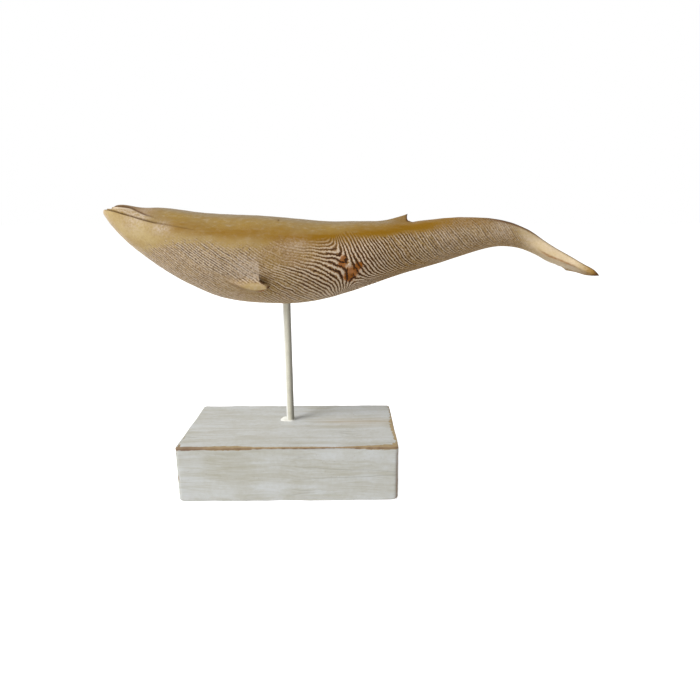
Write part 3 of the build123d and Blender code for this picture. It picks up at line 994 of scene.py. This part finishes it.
def block_outline():
    """Points round a rectangle with small round corners, with their outward directions.

    The way round is counted so that the corners take a fixed share of the points.
    """
    straight = [2 * (HALF_DEEP - CORNER_ROUND), 2 * (HALF_LONG - CORNER_ROUND)]
    x, y, turn = [], [], []
    for side in range(4):
        start = side * math.pi / 2
        run = straight[side % 2]
        count = round((BLOCK_POINTS - 4 * CORNER_POINTS) * run / (2 * sum(straight)))
        reach = (HALF_LONG, HALF_DEEP)[side % 2]
        t = np.linspace(-run / 2, run / 2, count, endpoint=False)
        x.append(reach * math.cos(start) - t * math.sin(start))
        y.append(reach * math.sin(start) + t * math.cos(start))
        turn.append(np.full(count, start))
        arc = start + np.linspace(0, math.pi / 2, CORNER_POINTS, endpoint=False)
        centre_x = (HALF_LONG - CORNER_ROUND) * (1 if side in (0, 3) else -1)
        centre_y = (HALF_DEEP - CORNER_ROUND) * (1 if side in (0, 1) else -1)
        x.append(centre_x + CORNER_ROUND * np.cos(arc))
        y.append(centre_y + CORNER_ROUND * np.sin(arc))
        turn.append(arc)
    x, y, turn = map(np.concatenate, (x, y, turn))
    return x, y, np.cos(turn), np.sin(turn)


def from_corner(x, y):
    """Distance from the nearest upright edge of the block."""
    return np.hypot(np.abs(x) - HALF_LONG, np.abs(y) - HALF_DEEP)


def block_sides(sizes):
    """Rows up the block's sides, with both edges rounded by radii that wander along them.

    The sides are chipped near the corners and flare towards the foot.
    """
    edge_x, edge_y, out_x, out_y = block_outline()
    place = (edge_x, edge_y, 0 * edge_x)
    top_round = 0.62 + 0.3 * ripple(*place, 31, 71) + 0.12 * ripple(*place, 8, 72)
    top_round = np.maximum(sizes.edge_round * top_round, 0.5)
    to_front_corner = np.hypot(np.abs(edge_x) - HALF_LONG + 0.5, edge_y + HALF_DEEP - 0.5)
    low_round = sizes.edge_round * (0.4 + 0.25 * ripple(*place, 22, 73))
    low_round = np.clip(low_round + 2.6 * np.exp(-to_front_corner / 7), 0.5, 3.0)
    angle = np.linspace(0, math.pi / 2, EDGE_ROWS)[:, None]
    share = 1 - np.linspace(1, 0, SIDE_ROWS)[1:-1, None] ** 1.4
    straight = BLOCK_TOP - top_round - BLOCK_FOOT - low_round
    inward = np.concatenate([
        low_round * (1 - np.sin(angle)),
        0 * share * straight,
        top_round * (1 - np.cos(angle)),
    ])
    level = np.concatenate([
        BLOCK_FOOT + low_round * (1 - np.cos(angle)),
        BLOCK_FOOT + low_round + share * straight,
        BLOCK_TOP - top_round * (1 - np.sin(angle)),
    ])
    chips = 0.16 * ripple(edge_x, edge_y, level, 9, 74) * bell(from_corner(edge_x, edge_y), 0, 5)
    dents = 0.10 * ripple(edge_x, edge_y, level, 40, 75)
    inward = inward + np.clip(chips + dents + 0.15, 0, None)
    flare = (BLOCK_TOP - level) / (BLOCK_TOP - BLOCK_FOOT)
    x = edge_x - (inward - 0.8 - 0.6 * flare) * out_x
    y = edge_y - (inward - 1.2 * flare) * out_y
    return np.stack([x, y, level], 2)


def block_marks(x, y, z):
    """Masks of the block: where the paint is worn, burnt, smudged and sawn across."""
    under_top = BLOCK_TOP - z
    to_side = np.minimum(HALF_LONG - np.abs(x), HALF_DEEP - np.abs(y))
    from_top_edge = np.where(under_top < 0.6, to_side, under_top)
    side_width = 1.6 + 1.2 * ripple(x, y, 0 * z, 26, 76)
    side_width = side_width + 5 * fade(96, 100, x) * fade(-40, 0, -np.abs(y + 10))
    saw_teeth = 2.4 * ripple(0 * x, y, 0 * z, 3.2, 79)
    side_width = side_width + saw_teeth * fade(94, 98, x) * fade(-46, -40, y)
    width = np.where(np.abs(y + HALF_DEEP) < 8, level_on(WORN_WIDTH, x), side_width)
    wander = ripple(x, y, z, 11, 77) + 0.6 * ripple(x, y, z, 4.5, 78)
    worn = fade(0.9, -0.9, from_top_edge - width * (0.6 + 0.13 * wander))
    worn = worn * np.where(under_top > 2.6, 0.25, 1)
    worn = worn * (1 - 0.7 * fade(-100, -101.5, x) * fade(-51, -49, y))
    on_front = bell(y, -HALF_DEEP, 6)
    front_face = fade(-0.4, 0.3, 2.2 - HALF_DEEP - y)
    line = bell(under_top, 1.3, 0.8) * on_front * front_face * (0.55 + 0.25 * wander)
    corner = bell(from_corner(x, y), 0, 1.6)
    right_edge = corner * fade(0, 1, x) * fade(-20, 0, -y - 30) * fade(0, 8, under_top)
    burnt = level_on(BURNT_SHARE, x) * on_front
    return {
        "worn": np.clip(worn + 0.7 * corner * fade(0.2, 0.9, wander), 0, 1),
        "burnt": np.clip(burnt + line + 0.9 * right_edge, 0, 1),
        "edge_line": np.clip(line + right_edge, 0, 1),
        "sawn_end": fade(101.2, 102.2, np.abs(x)) * fade(0.2, 1.2, under_top),
        "smudge": bell(y, 5, 9) * fade(8, 50, x) * fade(1.0, 0.2, under_top),
    }


def make_block(sizes):
    """The block as one closed surface carried round the bore.

    The rows go up the sides, in over the top, down the bore and the counterbore and out
    under the block. Over the top and underneath a ring is a blend of the outline and
    the bore's circle.
    """
    base = BLOCK_LOW[2]
    ceiling = base + COUNTERBORE_DEPTH
    sides = block_sides(sizes)
    axis = np.array([ROD_X, MIDDLE_Y])

    def sheet_between(ring, radius, shares, height):
        heading = ring[:, :2] - axis
        heading /= np.linalg.norm(heading, axis=1, keepdims=True)
        shares = np.reshape(shares, (-1, 1, 1))
        flat = ring[None, :, :2] * (1 - shares) + (axis + radius * heading)[None] * shares
        return np.concatenate([flat, np.full(flat.shape[:2] + (1,), height)], 2)

    inward = np.linspace(0, 1, TOP_ROWS)[1:] ** 1.8
    top = sheet_between(sides[-1], BORE_RADIUS, inward, BLOCK_TOP)
    # The bore's wall is the top's last ring once more, at each of these levels
    down = np.array([BLOCK_TOP - 0.02, BLOCK_TOP - 3, BLOCK_TOP - 20, ceiling + 0.02, ceiling])
    wall = np.repeat(top[-1:], len(down), axis=0)
    wall[..., 2] = down[:, None]
    outward = np.append(np.linspace(1, 0, 9)[1:-1], 0.025)
    grid = np.concatenate([
        sides,
        top,
        wall,
        sheet_between(sides[0], COUNTERBORE_RADIUS, 1, ceiling),
        sheet_between(sides[0], COUNTERBORE_RADIUS, 1, base),
        sheet_between(sides[0], COUNTERBORE_RADIUS, outward, base),
    ])
    faces = grid_faces(*grid.shape[:2], wrap_rows=True)
    marks = block_marks(*np.moveaxis(grid, 2, 0))
    return lay_mesh("washed_block", grid, faces, marks, sharp_over=48)


def rgba(colour):
    """A colour's three channels and full opacity."""
    return (*tuple(colour)[:3], 1.0)


def dimmed(colour, share):
    """A colour with each channel times a share."""
    return tuple(share * channel for channel in colour)


class Nodes:
    """Short ways to add nodes to a tree, called n by the materials.

    put returns the new node and the others its output.
    """

    def __init__(self, tree):
        self.tree = tree

    def feed(self, socket, value):
        """Links a socket to another node's output, or sets its constant."""
        if isinstance(value, bpy.types.NodeSocket):
            self.tree.links.new(value, socket)
        elif socket.type == "RGBA":
            socket.default_value = rgba(value)
        else:
            socket.default_value = value

    def put(self, kind, values=None, **settings):
        """Adds a node, sets its settings and feeds its inputs by name or number."""
        node = self.tree.nodes.new(kind)
        for key, value in settings.items():
            setattr(node, key, value)
        for key, value in (values or {}).items():
            self.feed(node.inputs[key], value)
        return node

    def maths(self, operation, *values, clamp=False):
        values = dict(enumerate(values))
        return self.put("ShaderNodeMath", values, operation=operation, use_clamp=clamp).outputs[0]

    def times(self, first, second, clamp=False):
        return self.maths("MULTIPLY", first, second, clamp=clamp)

    def times_plus(self, first, second, third):
        return self.maths("MULTIPLY_ADD", first, second, third)

    def centred(self, value):
        """Noise, which lies round one half, moved to lie round zero."""
        return self.maths("SUBTRACT", value, 0.5)

    def rise(self, value, low, high, to_low=0.0, to_high=1.0):
        """Smooth step of a value from low to high, mapped to the given range."""
        values = {"From Min": low, "From Max": high, "To Min": to_low, "To Max": to_high}
        values["Value"] = value
        return self.put("ShaderNodeMapRange", values, interpolation_type="SMOOTHSTEP").outputs[0]

    def tint(self, share, under, over):
        """Colour that goes from under to over with the share."""
        values = {0: share, 6: under, 7: over}
        return self.put("ShaderNodeMix", values, data_type="RGBA").outputs[2]

    def mark(self, name):
        """One of the piece's own marks."""
        return self.put("ShaderNodeAttribute", attribute_name=name).outputs["Fac"]

    def vector(self, operation, *values):
        """Vector maths; its vector is the first output, and a length is called Value."""
        values = dict(enumerate(values))
        return self.put("ShaderNodeVectorMath", values, operation=operation).outputs

    def place(self):
        """Object coordinates."""
        return self.put("ShaderNodeTexCoord").outputs["Object"]

    def noise(self, scale, detail=2.0, rough=0.5, vector=None, stretch=None):
        """Noise on object coordinates, or on a given vector, stretched where asked."""
        if vector is None:
            vector = self.place()
        if stretch is not None:
            vector = self.put("ShaderNodeMapping", {"Vector": vector, "Scale": stretch}).outputs[0]
        values = {"Vector": vector, "Scale": scale, "Detail": detail, "Roughness": rough}
        return self.put("ShaderNodeTexNoise", values).outputs["Fac"]

    def mottled(self, colour, second, amount, scale):
        """Colour drawn unevenly towards a second one, by the shared group."""
        values = {"Colour": colour, "Second": second, "Amount": amount, "Scale": scale}
        return self.put("ShaderNodeGroup", values, node_tree=mottle_group()).outputs["Colour"]

    def seen(self):
        """1 where a ray comes straight, by a gloss or through glass from the camera, else 0."""
        rays = self.put("ShaderNodeLightPath").outputs
        seen = self.maths("MAXIMUM", rays["Is Camera Ray"], rays["Is Glossy Ray"])
        return self.maths("MAXIMUM", seen, rays["Is Transmission Ray"])


def shared_group(name, inputs, fill):
    """Node group that is made once: inputs with their defaults, filled by a function.

    The function takes the nodes and the inputs and gives the outputs by name.
    """
    if name in bpy.data.node_groups:
        return bpy.data.node_groups[name]
    group = bpy.data.node_groups.new(name, "ShaderNodeTree")
    kinds = {"VALUE": "NodeSocketFloat", "RGBA": "NodeSocketColor"}
    for label, default in inputs.items():
        kind = kinds["RGBA" if isinstance(default, tuple) else "VALUE"]
        socket = group.interface.new_socket(label, in_out="INPUT", socket_type=kind)
        socket.default_value = rgba(default) if isinstance(default, tuple) else default
    nodes = Nodes(group)
    results = fill(nodes, nodes.put("NodeGroupInput").outputs)
    for label, value in results.items():
        group.interface.new_socket(label, in_out="OUTPUT", socket_type=kinds[value.type])
    nodes.put("NodeGroupOutput", results)
    return group


def grain_group():
    """Brushed grain: ridges and valleys along whole numbers of the field of lines."""

    def fill(n, given):
        near_knot = given["Near knot"]
        lines = n.times_plus(n.centred(n.noise(170, 2)), 0.6, given["Lines"])
        jitter = n.rise(near_knot, 0, 1, 0.35, 0.7)
        lines = n.times_plus(n.centred(n.noise(620, 2)), jitter, lines)
        wave = n.maths("SINE", n.times(lines, TURN))
        # Each line has a strength of its own, which drifts along it
        along = n.times_plus(given["Lines"], 0.85, n.times(n.noise(34, 1), 5.0))
        values = {"W": along, "Scale": 1.0, "Detail": 1.0}
        each = n.put("ShaderNodeTexNoise", values, noise_dimensions="1D").outputs["Fac"]
        loud = n.maths("ADD", n.rise(each, 0.34, 0.66, 0.25, 1.0), near_knot, clamp=True)
        loud = n.times(loud, n.rise(given["Strength"], 0.0, 1.0, 0.35, 1.0))
        grit = n.centred(n.noise(560, 3, 0.75))
        height = n.times_plus(grit, n.times_plus(near_knot, -1.6, 2.7), n.times(wave, loud))
        ridge, valley = n.rise(height, 0.05, 0.7), n.rise(height, -0.1, -0.7)
        return {"Ridge": ridge, "Valley": valley, "Height": height}

    return shared_group("Brushed grain", {"Lines": 0.0, "Strength": 0.5, "Near knot": 0.0}, fill)


def mottle_group():
    """Uneven tone: a colour drawn towards a second one by two scales of noise."""

    def fill(n, given):
        broad = n.noise(given["Scale"], 3)
        fine = n.noise(n.times(given["Scale"], 9.0), 2, 0.6)
        mixed = n.times_plus(fine, 0.45, n.times(broad, 0.75))
        share = n.times(n.rise(mixed, 0.42, 0.80), given["Amount"], clamp=True)
        return {"Colour": n.tint(share, given["Colour"], given["Second"])}

    inputs = {"Colour": (0.5, 0.5, 0.5), "Second": (0.4, 0.4, 0.4), "Amount": 0.5, "Scale": 40.0}
    return shared_group("Uneven tone", inputs, fill)


def new_material(name):
    """Material with only a Principled shader and its output; returns it, its nodes and shader."""
    made = bpy.data.materials.new(name)
    made.use_nodes = True
    made.node_tree.nodes.clear()
    nodes = Nodes(made.node_tree)
    shader = nodes.put("ShaderNodeBsdfPrincipled")
    nodes.put("ShaderNodeOutputMaterial", {"Surface": shader.outputs[0]})
    return made, nodes, shader


def finish_surface(nodes, shader, colour, roughness, height, distance):
    """Feeds colour and roughness, and a bump whose height is in the given distance."""
    bump = nodes.put("ShaderNodeBump", {"Height": height, "Distance": distance, "Strength": 1.0})
    nodes.feed(shader.inputs["Base Color"], colour)
    nodes.feed(shader.inputs["Roughness"], roughness)
    nodes.feed(shader.inputs["Normal"], bump.outputs[0])


def carved_wood(name, colours, relief):
    """Smooth honey wood with an ochre band, brushed and washed grain and carved lines; its marks
    also paint shade into the lines and hollows, a sheen on the crown and bounce light low on the
    belly.
    """
    made, n, shader = new_material(name)
    near_knot, strength, ochre = n.mark("near_knot"), n.mark("line_strength"), n.mark("ochre")
    values = {"Lines": n.mark("grain_lines"), "Strength": strength, "Near knot": near_knot}
    grain = n.put("ShaderNodeGroup", values, node_tree=grain_group()).outputs
    speckle = n.noise(480, 3, 0.65)
    ragged = n.centred(speckle)
    streak = n.noise(60, 3, 0.6, stretch=(0.35, 1.0, 2.6))

    # Smooth wood of the back, the jaw and the ochre band
    colour = n.mottled(colours.honey, colours.weathered, 0.45, 34)
    # Painted sheen: greyer along the crown
    colour = n.tint(n.mark("weathered"), colour, colours.weathered)
    fleck = n.noise(300, 4, 0.7, stretch=(0.6, 1.0, 1.0))
    colour = n.tint(n.rise(fleck, 0.46, 0.62, 0.0, 0.22), colour, colours.ochre)
    colour = n.tint(n.rise(fleck, 0.48, 0.34, 0.0, 0.2), colour, colours.bloom)
    deeper = tuple(0.5 * (a + b) for a, b in zip(colours.honey, colours.ochre))
    colour = n.tint(n.mark("jaw"), colour, n.mottled(colours.jaw, deeper, 0.55, 60))
    band = n.times(ochre, n.rise(streak, 0.3, 0.65, 0.55, 1.15), clamp=True)
    colour = n.tint(band, colour, colours.ochre)

    # Brushed wood, with wash on its ridges and stain in its valleys
    gritty = n.noise(760, 3, 0.7)
    brushed = n.mottled(colours.flank, colours.honey, 0.6, 70)
    for share, over in (
        (n.times(near_knot, 0.4), colours.rust),
        (n.rise(gritty, 0.5, 0.68, 0.0, 0.32), colours.valley),
        (n.rise(gritty, 0.5, 0.34, 0.0, 0.4), colours.ridge),
        (n.times(grain["Ridge"], n.rise(strength, 0, 1, 0.35, 0.95)), colours.ridge),
        (n.times(grain["Valley"], n.rise(strength, 0, 1, 0.3, 1.0)), colours.valley),
        (n.times(ochre, 0.8), colours.ochre),
    ):
        brushed = n.tint(share, brushed, over)
    grain_share = n.rise(n.times_plus(ragged, 1.8, n.mark("grain")), 0.15, 0.95)
    colour = n.tint(grain_share, colour, brushed)

    # Cream wood, pale wash with painted bounce light, the knot's orange heart, painted shade,
    # pores and the stains darkened with painted shade, each over what lies under it
    cream = n.mottled(colours.cream, colours.jaw, 0.6, 44)
    cream = n.tint(n.rise(streak, 0.5, 0.7, 0.0, 0.5), cream, colours.bloom)
    rust = n.rise(n.times_plus(ragged, 0.5, n.mark("rust")), 0.12, 0.62)
    heart = n.mottled(colours.rust, colours.valley, 0.42, 300)
    heart = n.tint(grain["Valley"], heart, colours.valley)
    pores = n.rise(n.noise(1500, 1), 0.62, 0.75)
    for share, over in (
        (n.rise(n.times_plus(ragged, 0.5, n.mark("cream")), 0.1, 0.95), cream),
        (n.times(n.mark("bloom"), n.rise(speckle, 0.35, 0.65, 0.15, 0.75)), colours.bloom),
        (n.times(rust, n.rise(n.noise(46, 3), 0.3, 0.6, 0.85, 1.0)), heart),
        # Painted shade behind the flipper, under its ridge and under the flukes, in a dim ochre
        (n.times(n.mark("shade"), 0.75), dimmed(colours.ochre, 0.55)),
        (n.times(pores, 0.25), colours.soot),
        (n.mark("soot"), colours.soot),
    ):
        colour = n.tint(share, colour, over)

    cut = n.times(n.times(grain["Height"], grain_share), n.rise(strength, 0, 1, 0.4, 1.0))
    height = n.times_plus(ragged, 0.25, cut)
    finish_surface(n, shader, colour, n.rise(grain_share, 0, 1, 0.6, 0.78), height, relief)
    shader.inputs["Specular IOR Level"].default_value = 0.14
    return made


def whitewashed_wood(colours):
    """Brushed white paint over wood, thinner in long wavering streaks, worn at the edges."""
    made, n, shader = new_material("Whitewashed wood")
    along = (0.06, 1.0, 1.0)
    waver = n.times(n.noise(14, 2), 0.014)
    lift = n.put("ShaderNodeCombineXYZ", {1: waver, 2: waver}).outputs[0]
    lifted = n.vector("ADD", n.place(), lift)[0]
    streak = n.noise(140, 4, 0.62, lifted, along)
    fine = n.noise(620, 3, 0.65, lifted, along)
    grit = n.noise(520, 3, 0.7)
    sawn_end = n.mark("sawn_end")

    share = n.times_plus(fine, 0.45, n.times(streak, 0.7))
    thin = n.times(n.rise(share, 0.44, 0.82), n.rise(n.noise(22, 3), 0.3, 0.7, 0.45, 1.0))
    # Thin lines where a broad stretched noise crosses one half
    crossing = n.maths("ABSOLUTE", n.centred(n.noise(60, 1, 0.5, lifted, (0.07, 1.0, 1.0))))
    crack = n.times(n.rise(crossing, 0.012, 0.003), n.rise(n.noise(16, 1), 0.5, 0.66, 0.0, 0.36))
    # Growth rings round a pith under the block, on the sawn ends only
    flat = n.vector("MULTIPLY", n.vector("SUBTRACT", lifted, PITH)[0], (0, 1, 1))[0]
    ring = n.maths("SINE", n.times(n.vector("LENGTH", flat)["Value"], TURN / RING_PITCH))
    worn = n.rise(n.times_plus(n.centred(grit), 0.9, n.mark("worn")), 0.3, 0.62)
    wood = n.tint(n.rise(grit, 0.35, 0.7, 0.0, 0.35), colours.bare_wood, colours.burnt_wood)
    wood = n.tint(n.mark("burnt"), wood, colours.burnt_wood)

    colour = n.mottled(colours.whitewash, colours.thin_wash, 0.4, 30)
    for share, over in (
        (thin, colours.thin_wash),
        (n.times(crack, n.rise(sawn_end, 1, 0)), dimmed(colours.thin_wash, 0.55)),
        (n.times(n.rise(ring, 0.1, 1.0, 0.0, 0.5), sawn_end), dimmed(colours.thin_wash, 0.8)),
        (n.times(n.mark("smudge"), n.rise(streak, 0.35, 0.65, 0.12, 0.42)), colours.bare_wood),
        (n.times(worn, 0.92), wood),
        (n.times(n.mark("edge_line"), 0.8), colours.burnt_wood),
        (n.rise(n.noise(900, 1), 0.70, 0.78, 0.0, 0.35), colours.burnt_wood),
    ):
        colour = n.tint(share, colour, over)
    height = n.times_plus(thin, -0.6, n.times(fine, 0.5))
    finish_surface(n, shader, colour, 0.68, n.maths("SUBTRACT", height, worn), 0.00025)
    return made


def brushed_paint(name, colour, second, scale, gloss):
    """Brushed-on paint with faint strokes up the rod or lumps in the filler."""
    made, n, shader = new_material(name)
    tone = n.mottled(colour, second, 0.45, scale)
    # Painted shade on the rod's right and under the belly, and a painted highlight on its left
    tone = n.tint(n.mark("grime"), tone, dimmed(second, 0.4))
    tone = n.tint(n.mark("thick_paint"), tone, (0.9, 0.9, 0.87))
    strokes = n.noise(380, 3, 0.6, stretch=(1.0, 1.0, 0.12))
    finish_surface(n, shader, tone, gloss, strokes, 0.0002)
    shader.inputs["Specular IOR Level"].default_value = 0.3
    return made


def plated_steel(colours):
    """Zinc-plated steel with fine scratches."""
    made, n, shader = new_material("Plated steel")
    tone = n.mottled(colours.steel, dimmed(colours.steel, 0.6), 0.5, 220)
    scratch = n.noise(900, 3, 0.7, stretch=(1.0, 1.0, 0.2))
    finish_surface(n, shader, tone, n.rise(scratch, 0.2, 0.8, 0.3, 0.5), scratch, 0.00005)
    shader.inputs["Metallic"].default_value = 1.0
    return made


def pressed_felt(colours):
    """Felt: matted fibres as fine noise in tone and height."""
    made, n, shader = new_material("Pressed felt")
    tone = n.mottled(colours.felt, dimmed(colours.felt, 0.5), 0.8, 260)
    finish_surface(n, shader, tone, 0.95, n.noise(1400, 4, 0.75), 0.0004)
    return made


def dress(piece, material, slot, *nodes):
    """Gives a piece its material and its body, and hides the solids that it stands for; the slot
    is not used.
    """
    piece.data.materials.append(material)
    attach(piece, "root")
    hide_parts(*nodes)


def dress_solid(node_name, material):
    """Puts a material on a solid that is shown as it is."""
    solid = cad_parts[node_name]
    if not solid.material_slots:
        solid.data.materials.append(material)
    for place in solid.material_slots:
        place.material = material


def carved_form(context):
    """The whale's form with the sizes that the user has set."""
    return CarvedForm(in_millimetres(context.scene.whale_sizes))


def wood_finish(name, context):
    """The carved wood's material of this name, made where it isn't there yet."""
    sizes, colours = context.scene.whale_sizes, context.scene.whale_colours
    return bpy.data.materials.get(name) or carved_wood(name, colours, sizes.grain_relief)


class WHALE_OT_body(bpy.types.Operator):
    """Lays down the carved body with its head, mouth lines and dorsal fin"""

    bl_idname = "whale.body"
    bl_label = "Carved body"

    def execute(self, context):
        finish = wood_finish("Brushed carved wood", context)
        dress(make_skin(carved_form(context)), finish, "carved_wood", "whale_body")
        return {"FINISHED"}


class WHALE_OT_flippers(bpy.types.Operator):
    """Lays down the two carved flippers"""

    bl_idname = "whale.flippers"
    bl_label = "Flippers"

    def execute(self, context):
        form = carved_form(context)
        finish = wood_finish("Brushed carved wood", context)
        dress(make_flipper(form, "near_flipper", False), finish, "carved_wood", "left_flipper")
        dress(make_flipper(form, "far_flipper", True), finish, "carved_wood", "right_flipper")
        return {"FINISHED"}


class WHALE_OT_flukes(bpy.types.Operator):
    """Lays down the pale tail with its two lobes"""

    bl_idname = "whale.flukes"
    bl_label = "Tail flukes"

    def execute(self, context):
        finish = wood_finish("Pale carved wood", context)
        dress(make_flukes(carved_form(context)), finish, "pale_wood", "tail_flukes")
        return {"FINISHED"}


class WHALE_OT_rod(bpy.types.Operator):
    """Lays down the painted rod and the filler round its foot"""

    bl_idname = "whale.rod"
    bl_label = "Rod and filler"

    def execute(self, context):
        sizes, colours = in_millimetres(context.scene.stand_sizes), context.scene.stand_colours
        # A shaded copy of the rod paint, mottled in and darkened further for its painted shade
        shade = dimmed(colours.rod_paint, 0.72)
        paint = brushed_paint("Rod paint", colours.rod_paint, shade, 90, 0.45)
        filler = brushed_paint("White filler", colours.filler, colours.rod_paint, 240, 0.6)
        dress(make_rod(sizes), paint, "white_paint", "support_rod")
        dress(make_filler(sizes), filler, "white_filler", "rod_foot_filler")
        return {"FINISHED"}


class WHALE_OT_block(bpy.types.Operator):
    """Lays down the whitewashed block with its worn edges"""

    bl_idname = "whale.block"
    bl_label = "Whitewashed block"

    def execute(self, context):
        paint = whitewashed_wood(context.scene.stand_colours)
        piece = make_block(in_millimetres(context.scene.stand_sizes))
        dress(piece, paint, "washed_wood", "base_block")
        return {"FINISHED"}


class WHALE_OT_fittings(bpy.types.Operator):
    """Finishes the washer, the nut and the felt, which keep their solids"""

    bl_idname = "whale.fittings"
    bl_label = "Washer, nut and felt"

    def execute(self, context):
        colours = context.scene.stand_colours
        steel = plated_steel(colours)
        for node_name in ("rod_washer", "rod_nut"):
            dress_solid(node_name, steel)
        dress_solid("felt_underlay", pressed_felt(colours))
        return {"FINISHED"}


def aimed(place, target, roll=0.0):
    """Matrix of a lamp or camera at a place that looks at a target."""
    back = np.asarray(place, float) - np.asarray(target, float)
    back /= np.linalg.norm(back)
    right = np.cross((0, 0, 1), back)
    right /= np.linalg.norm(right)
    up = np.cross(back, right)
    turned = math.cos(roll) * right + math.sin(roll) * up
    risen = -math.sin(roll) * right + math.cos(roll) * up
    rows = [(turned[i], risen[i], back[i], place[i]) for i in range(3)]
    return Matrix([*rows, (0, 0, 0, 1)])


def soft_lamp(name, place, size, power):
    """Round area lamp at a place, with its width in metres and its power in watts."""
    lamp = bpy.data.lights.new(name, "AREA")
    lamp.shape = "DISK"
    lamp.size = size
    lamp.energy = power
    made = bpy.data.objects.new(name, lamp)
    made.matrix_world = aimed(place, LAMPS_AIM)
    bpy.context.scene.collection.objects.link(made)


class WHALE_OT_stage(bpy.types.Operator):
    """Lays down the pale floor, the soft light and the camera"""

    bl_idname = "whale.stage"
    bl_label = "Stage"

    def execute(self, context):
        context.scene.view_settings.view_transform = "Standard"
        self.lay_floor()
        self.light_world(context.scene)
        soft_lamp("key_lamp", (-1.5, -0.9, 1.7), size=1.3, power=48)
        soft_lamp("fill_lamp", (0.9, -1.9, 0.8), size=1.6, power=2)
        self.place_camera(context.scene)
        return {"FINISHED"}

    def lay_floor(self):
        """A flat grid under the block, white to the camera where nothing shades it."""
        lines = np.linspace(-FLOOR_REACH, FLOOR_REACH, FLOOR_LINES)
        x, y = np.meshgrid(lines, lines, indexing="xy")
        grid = np.stack([x, y, 0 * x], 2)
        faces = grid_faces(*x.shape, wrap_columns=False)
        floor = lay_mesh("studio_floor", grid, faces)
        made, n, shader = new_material("Studio floor")
        shader.inputs["Base Color"].default_value = (0.86, 0.86, 0.86, 1)
        shader.inputs["Roughness"].default_value = 0.9
        glow = n.put("ShaderNodeEmission", {"Strength": n.times(n.seen(), 0.72)})
        both = n.put("ShaderNodeAddShader", {0: shader.outputs[0], 1: glow.outputs[0]})
        end = next(node for node in made.node_tree.nodes if node.type == "OUTPUT_MATERIAL")
        n.feed(end.inputs["Surface"], both.outputs[0])
        floor.data.materials.append(made)

    def light_world(self, scene):
        """Even white surroundings, pure white where the camera or a gloss sees them."""
        world = bpy.data.worlds.new("White studio")
        world.use_nodes = True
        world.node_tree.nodes.clear()
        n = Nodes(world.node_tree)
        strength = n.put("ShaderNodeMix", {0: n.seen(), 2: 0.42, 3: 1.0}, data_type="FLOAT")
        sky = n.put("ShaderNodeBackground", {"Color": (1, 1, 1), "Strength": strength.outputs[0]})
        n.put("ShaderNodeOutputWorld", {"Surface": sky.outputs[0]})
        scene.world = world

    def place_camera(self, scene):
        """Camera in the photograph's place: 265 mm up and turned down by 15.4 degrees."""
        place = np.array(CAMERA_PLACE) * MM
        ahead = (
            math.sin(CAMERA_YAW) * math.cos(CAMERA_PITCH),
            math.cos(CAMERA_YAW) * math.cos(CAMERA_PITCH),
            -math.sin(CAMERA_PITCH),
        )
        lens = bpy.data.cameras.new("photo_camera")
        lens.sensor_fit = "HORIZONTAL"
        lens.sensor_width = SENSOR_WIDTH
        lens.lens = SENSOR_WIDTH * FOCAL_LENGTH / PICTURE_WIDTH
        lens.clip_start = 0.01
        camera = bpy.data.objects.new("photo_camera", lens)
        camera.matrix_world = aimed(place, place + ahead, CAMERA_ROLL)
        scene.collection.objects.link(camera)
        scene.camera = camera


class WHALE_PT_panel(bpy.types.Panel):
    """Lists the pieces and the sizes and colours that they are made from"""

    bl_label = "Carved whale"
    bl_idname = "WHALE_PT_panel"
    bl_space_type = "VIEW_3D"
    bl_region_type = "UI"
    bl_category = "Whale"

    def draw(self, context):
        layout = self.layout
        for maker in MAKERS:
            layout.operator(maker.bl_idname)
        for name, group in GROUPS.items():
            box = layout.box()
            box.label(text=name.replace("_", " "))
            for key in group.__annotations__:
                box.prop(getattr(context.scene, name), key)


MAKERS = (
    WHALE_OT_stage,
    WHALE_OT_body,
    WHALE_OT_flippers,
    WHALE_OT_flukes,
    WHALE_OT_rod,
    WHALE_OT_block,
    WHALE_OT_fittings,
)
GROUPS = {
    "whale_sizes": WhaleSizes,
    "whale_colours": WhaleColours,
    "stand_sizes": StandSizes,
    "stand_colours": StandColours,
}


def register():
    for group in GROUPS.values():
        bpy.utils.register_class(group)
    for name, group in GROUPS.items():
        setattr(bpy.types.Scene, name, bpy.props.PointerProperty(type=group))
    for maker in MAKERS:
        bpy.utils.register_class(maker)
    bpy.utils.register_class(WHALE_PT_panel)


def unregister():
    bpy.utils.unregister_class(WHALE_PT_panel)
    for maker in reversed(MAKERS):
        bpy.utils.unregister_class(maker)
    for name, group in GROUPS.items():
        delattr(bpy.types.Scene, name)
        bpy.utils.unregister_class(group)


def main():
    register()
    bpy.ops.whale.stage()
    bpy.ops.whale.body()
    bpy.ops.whale.flippers()
    bpy.ops.whale.flukes()
    bpy.ops.whale.rod()
    bpy.ops.whale.block()
    bpy.ops.whale.fittings()


if __name__ == "__main__":
    main()
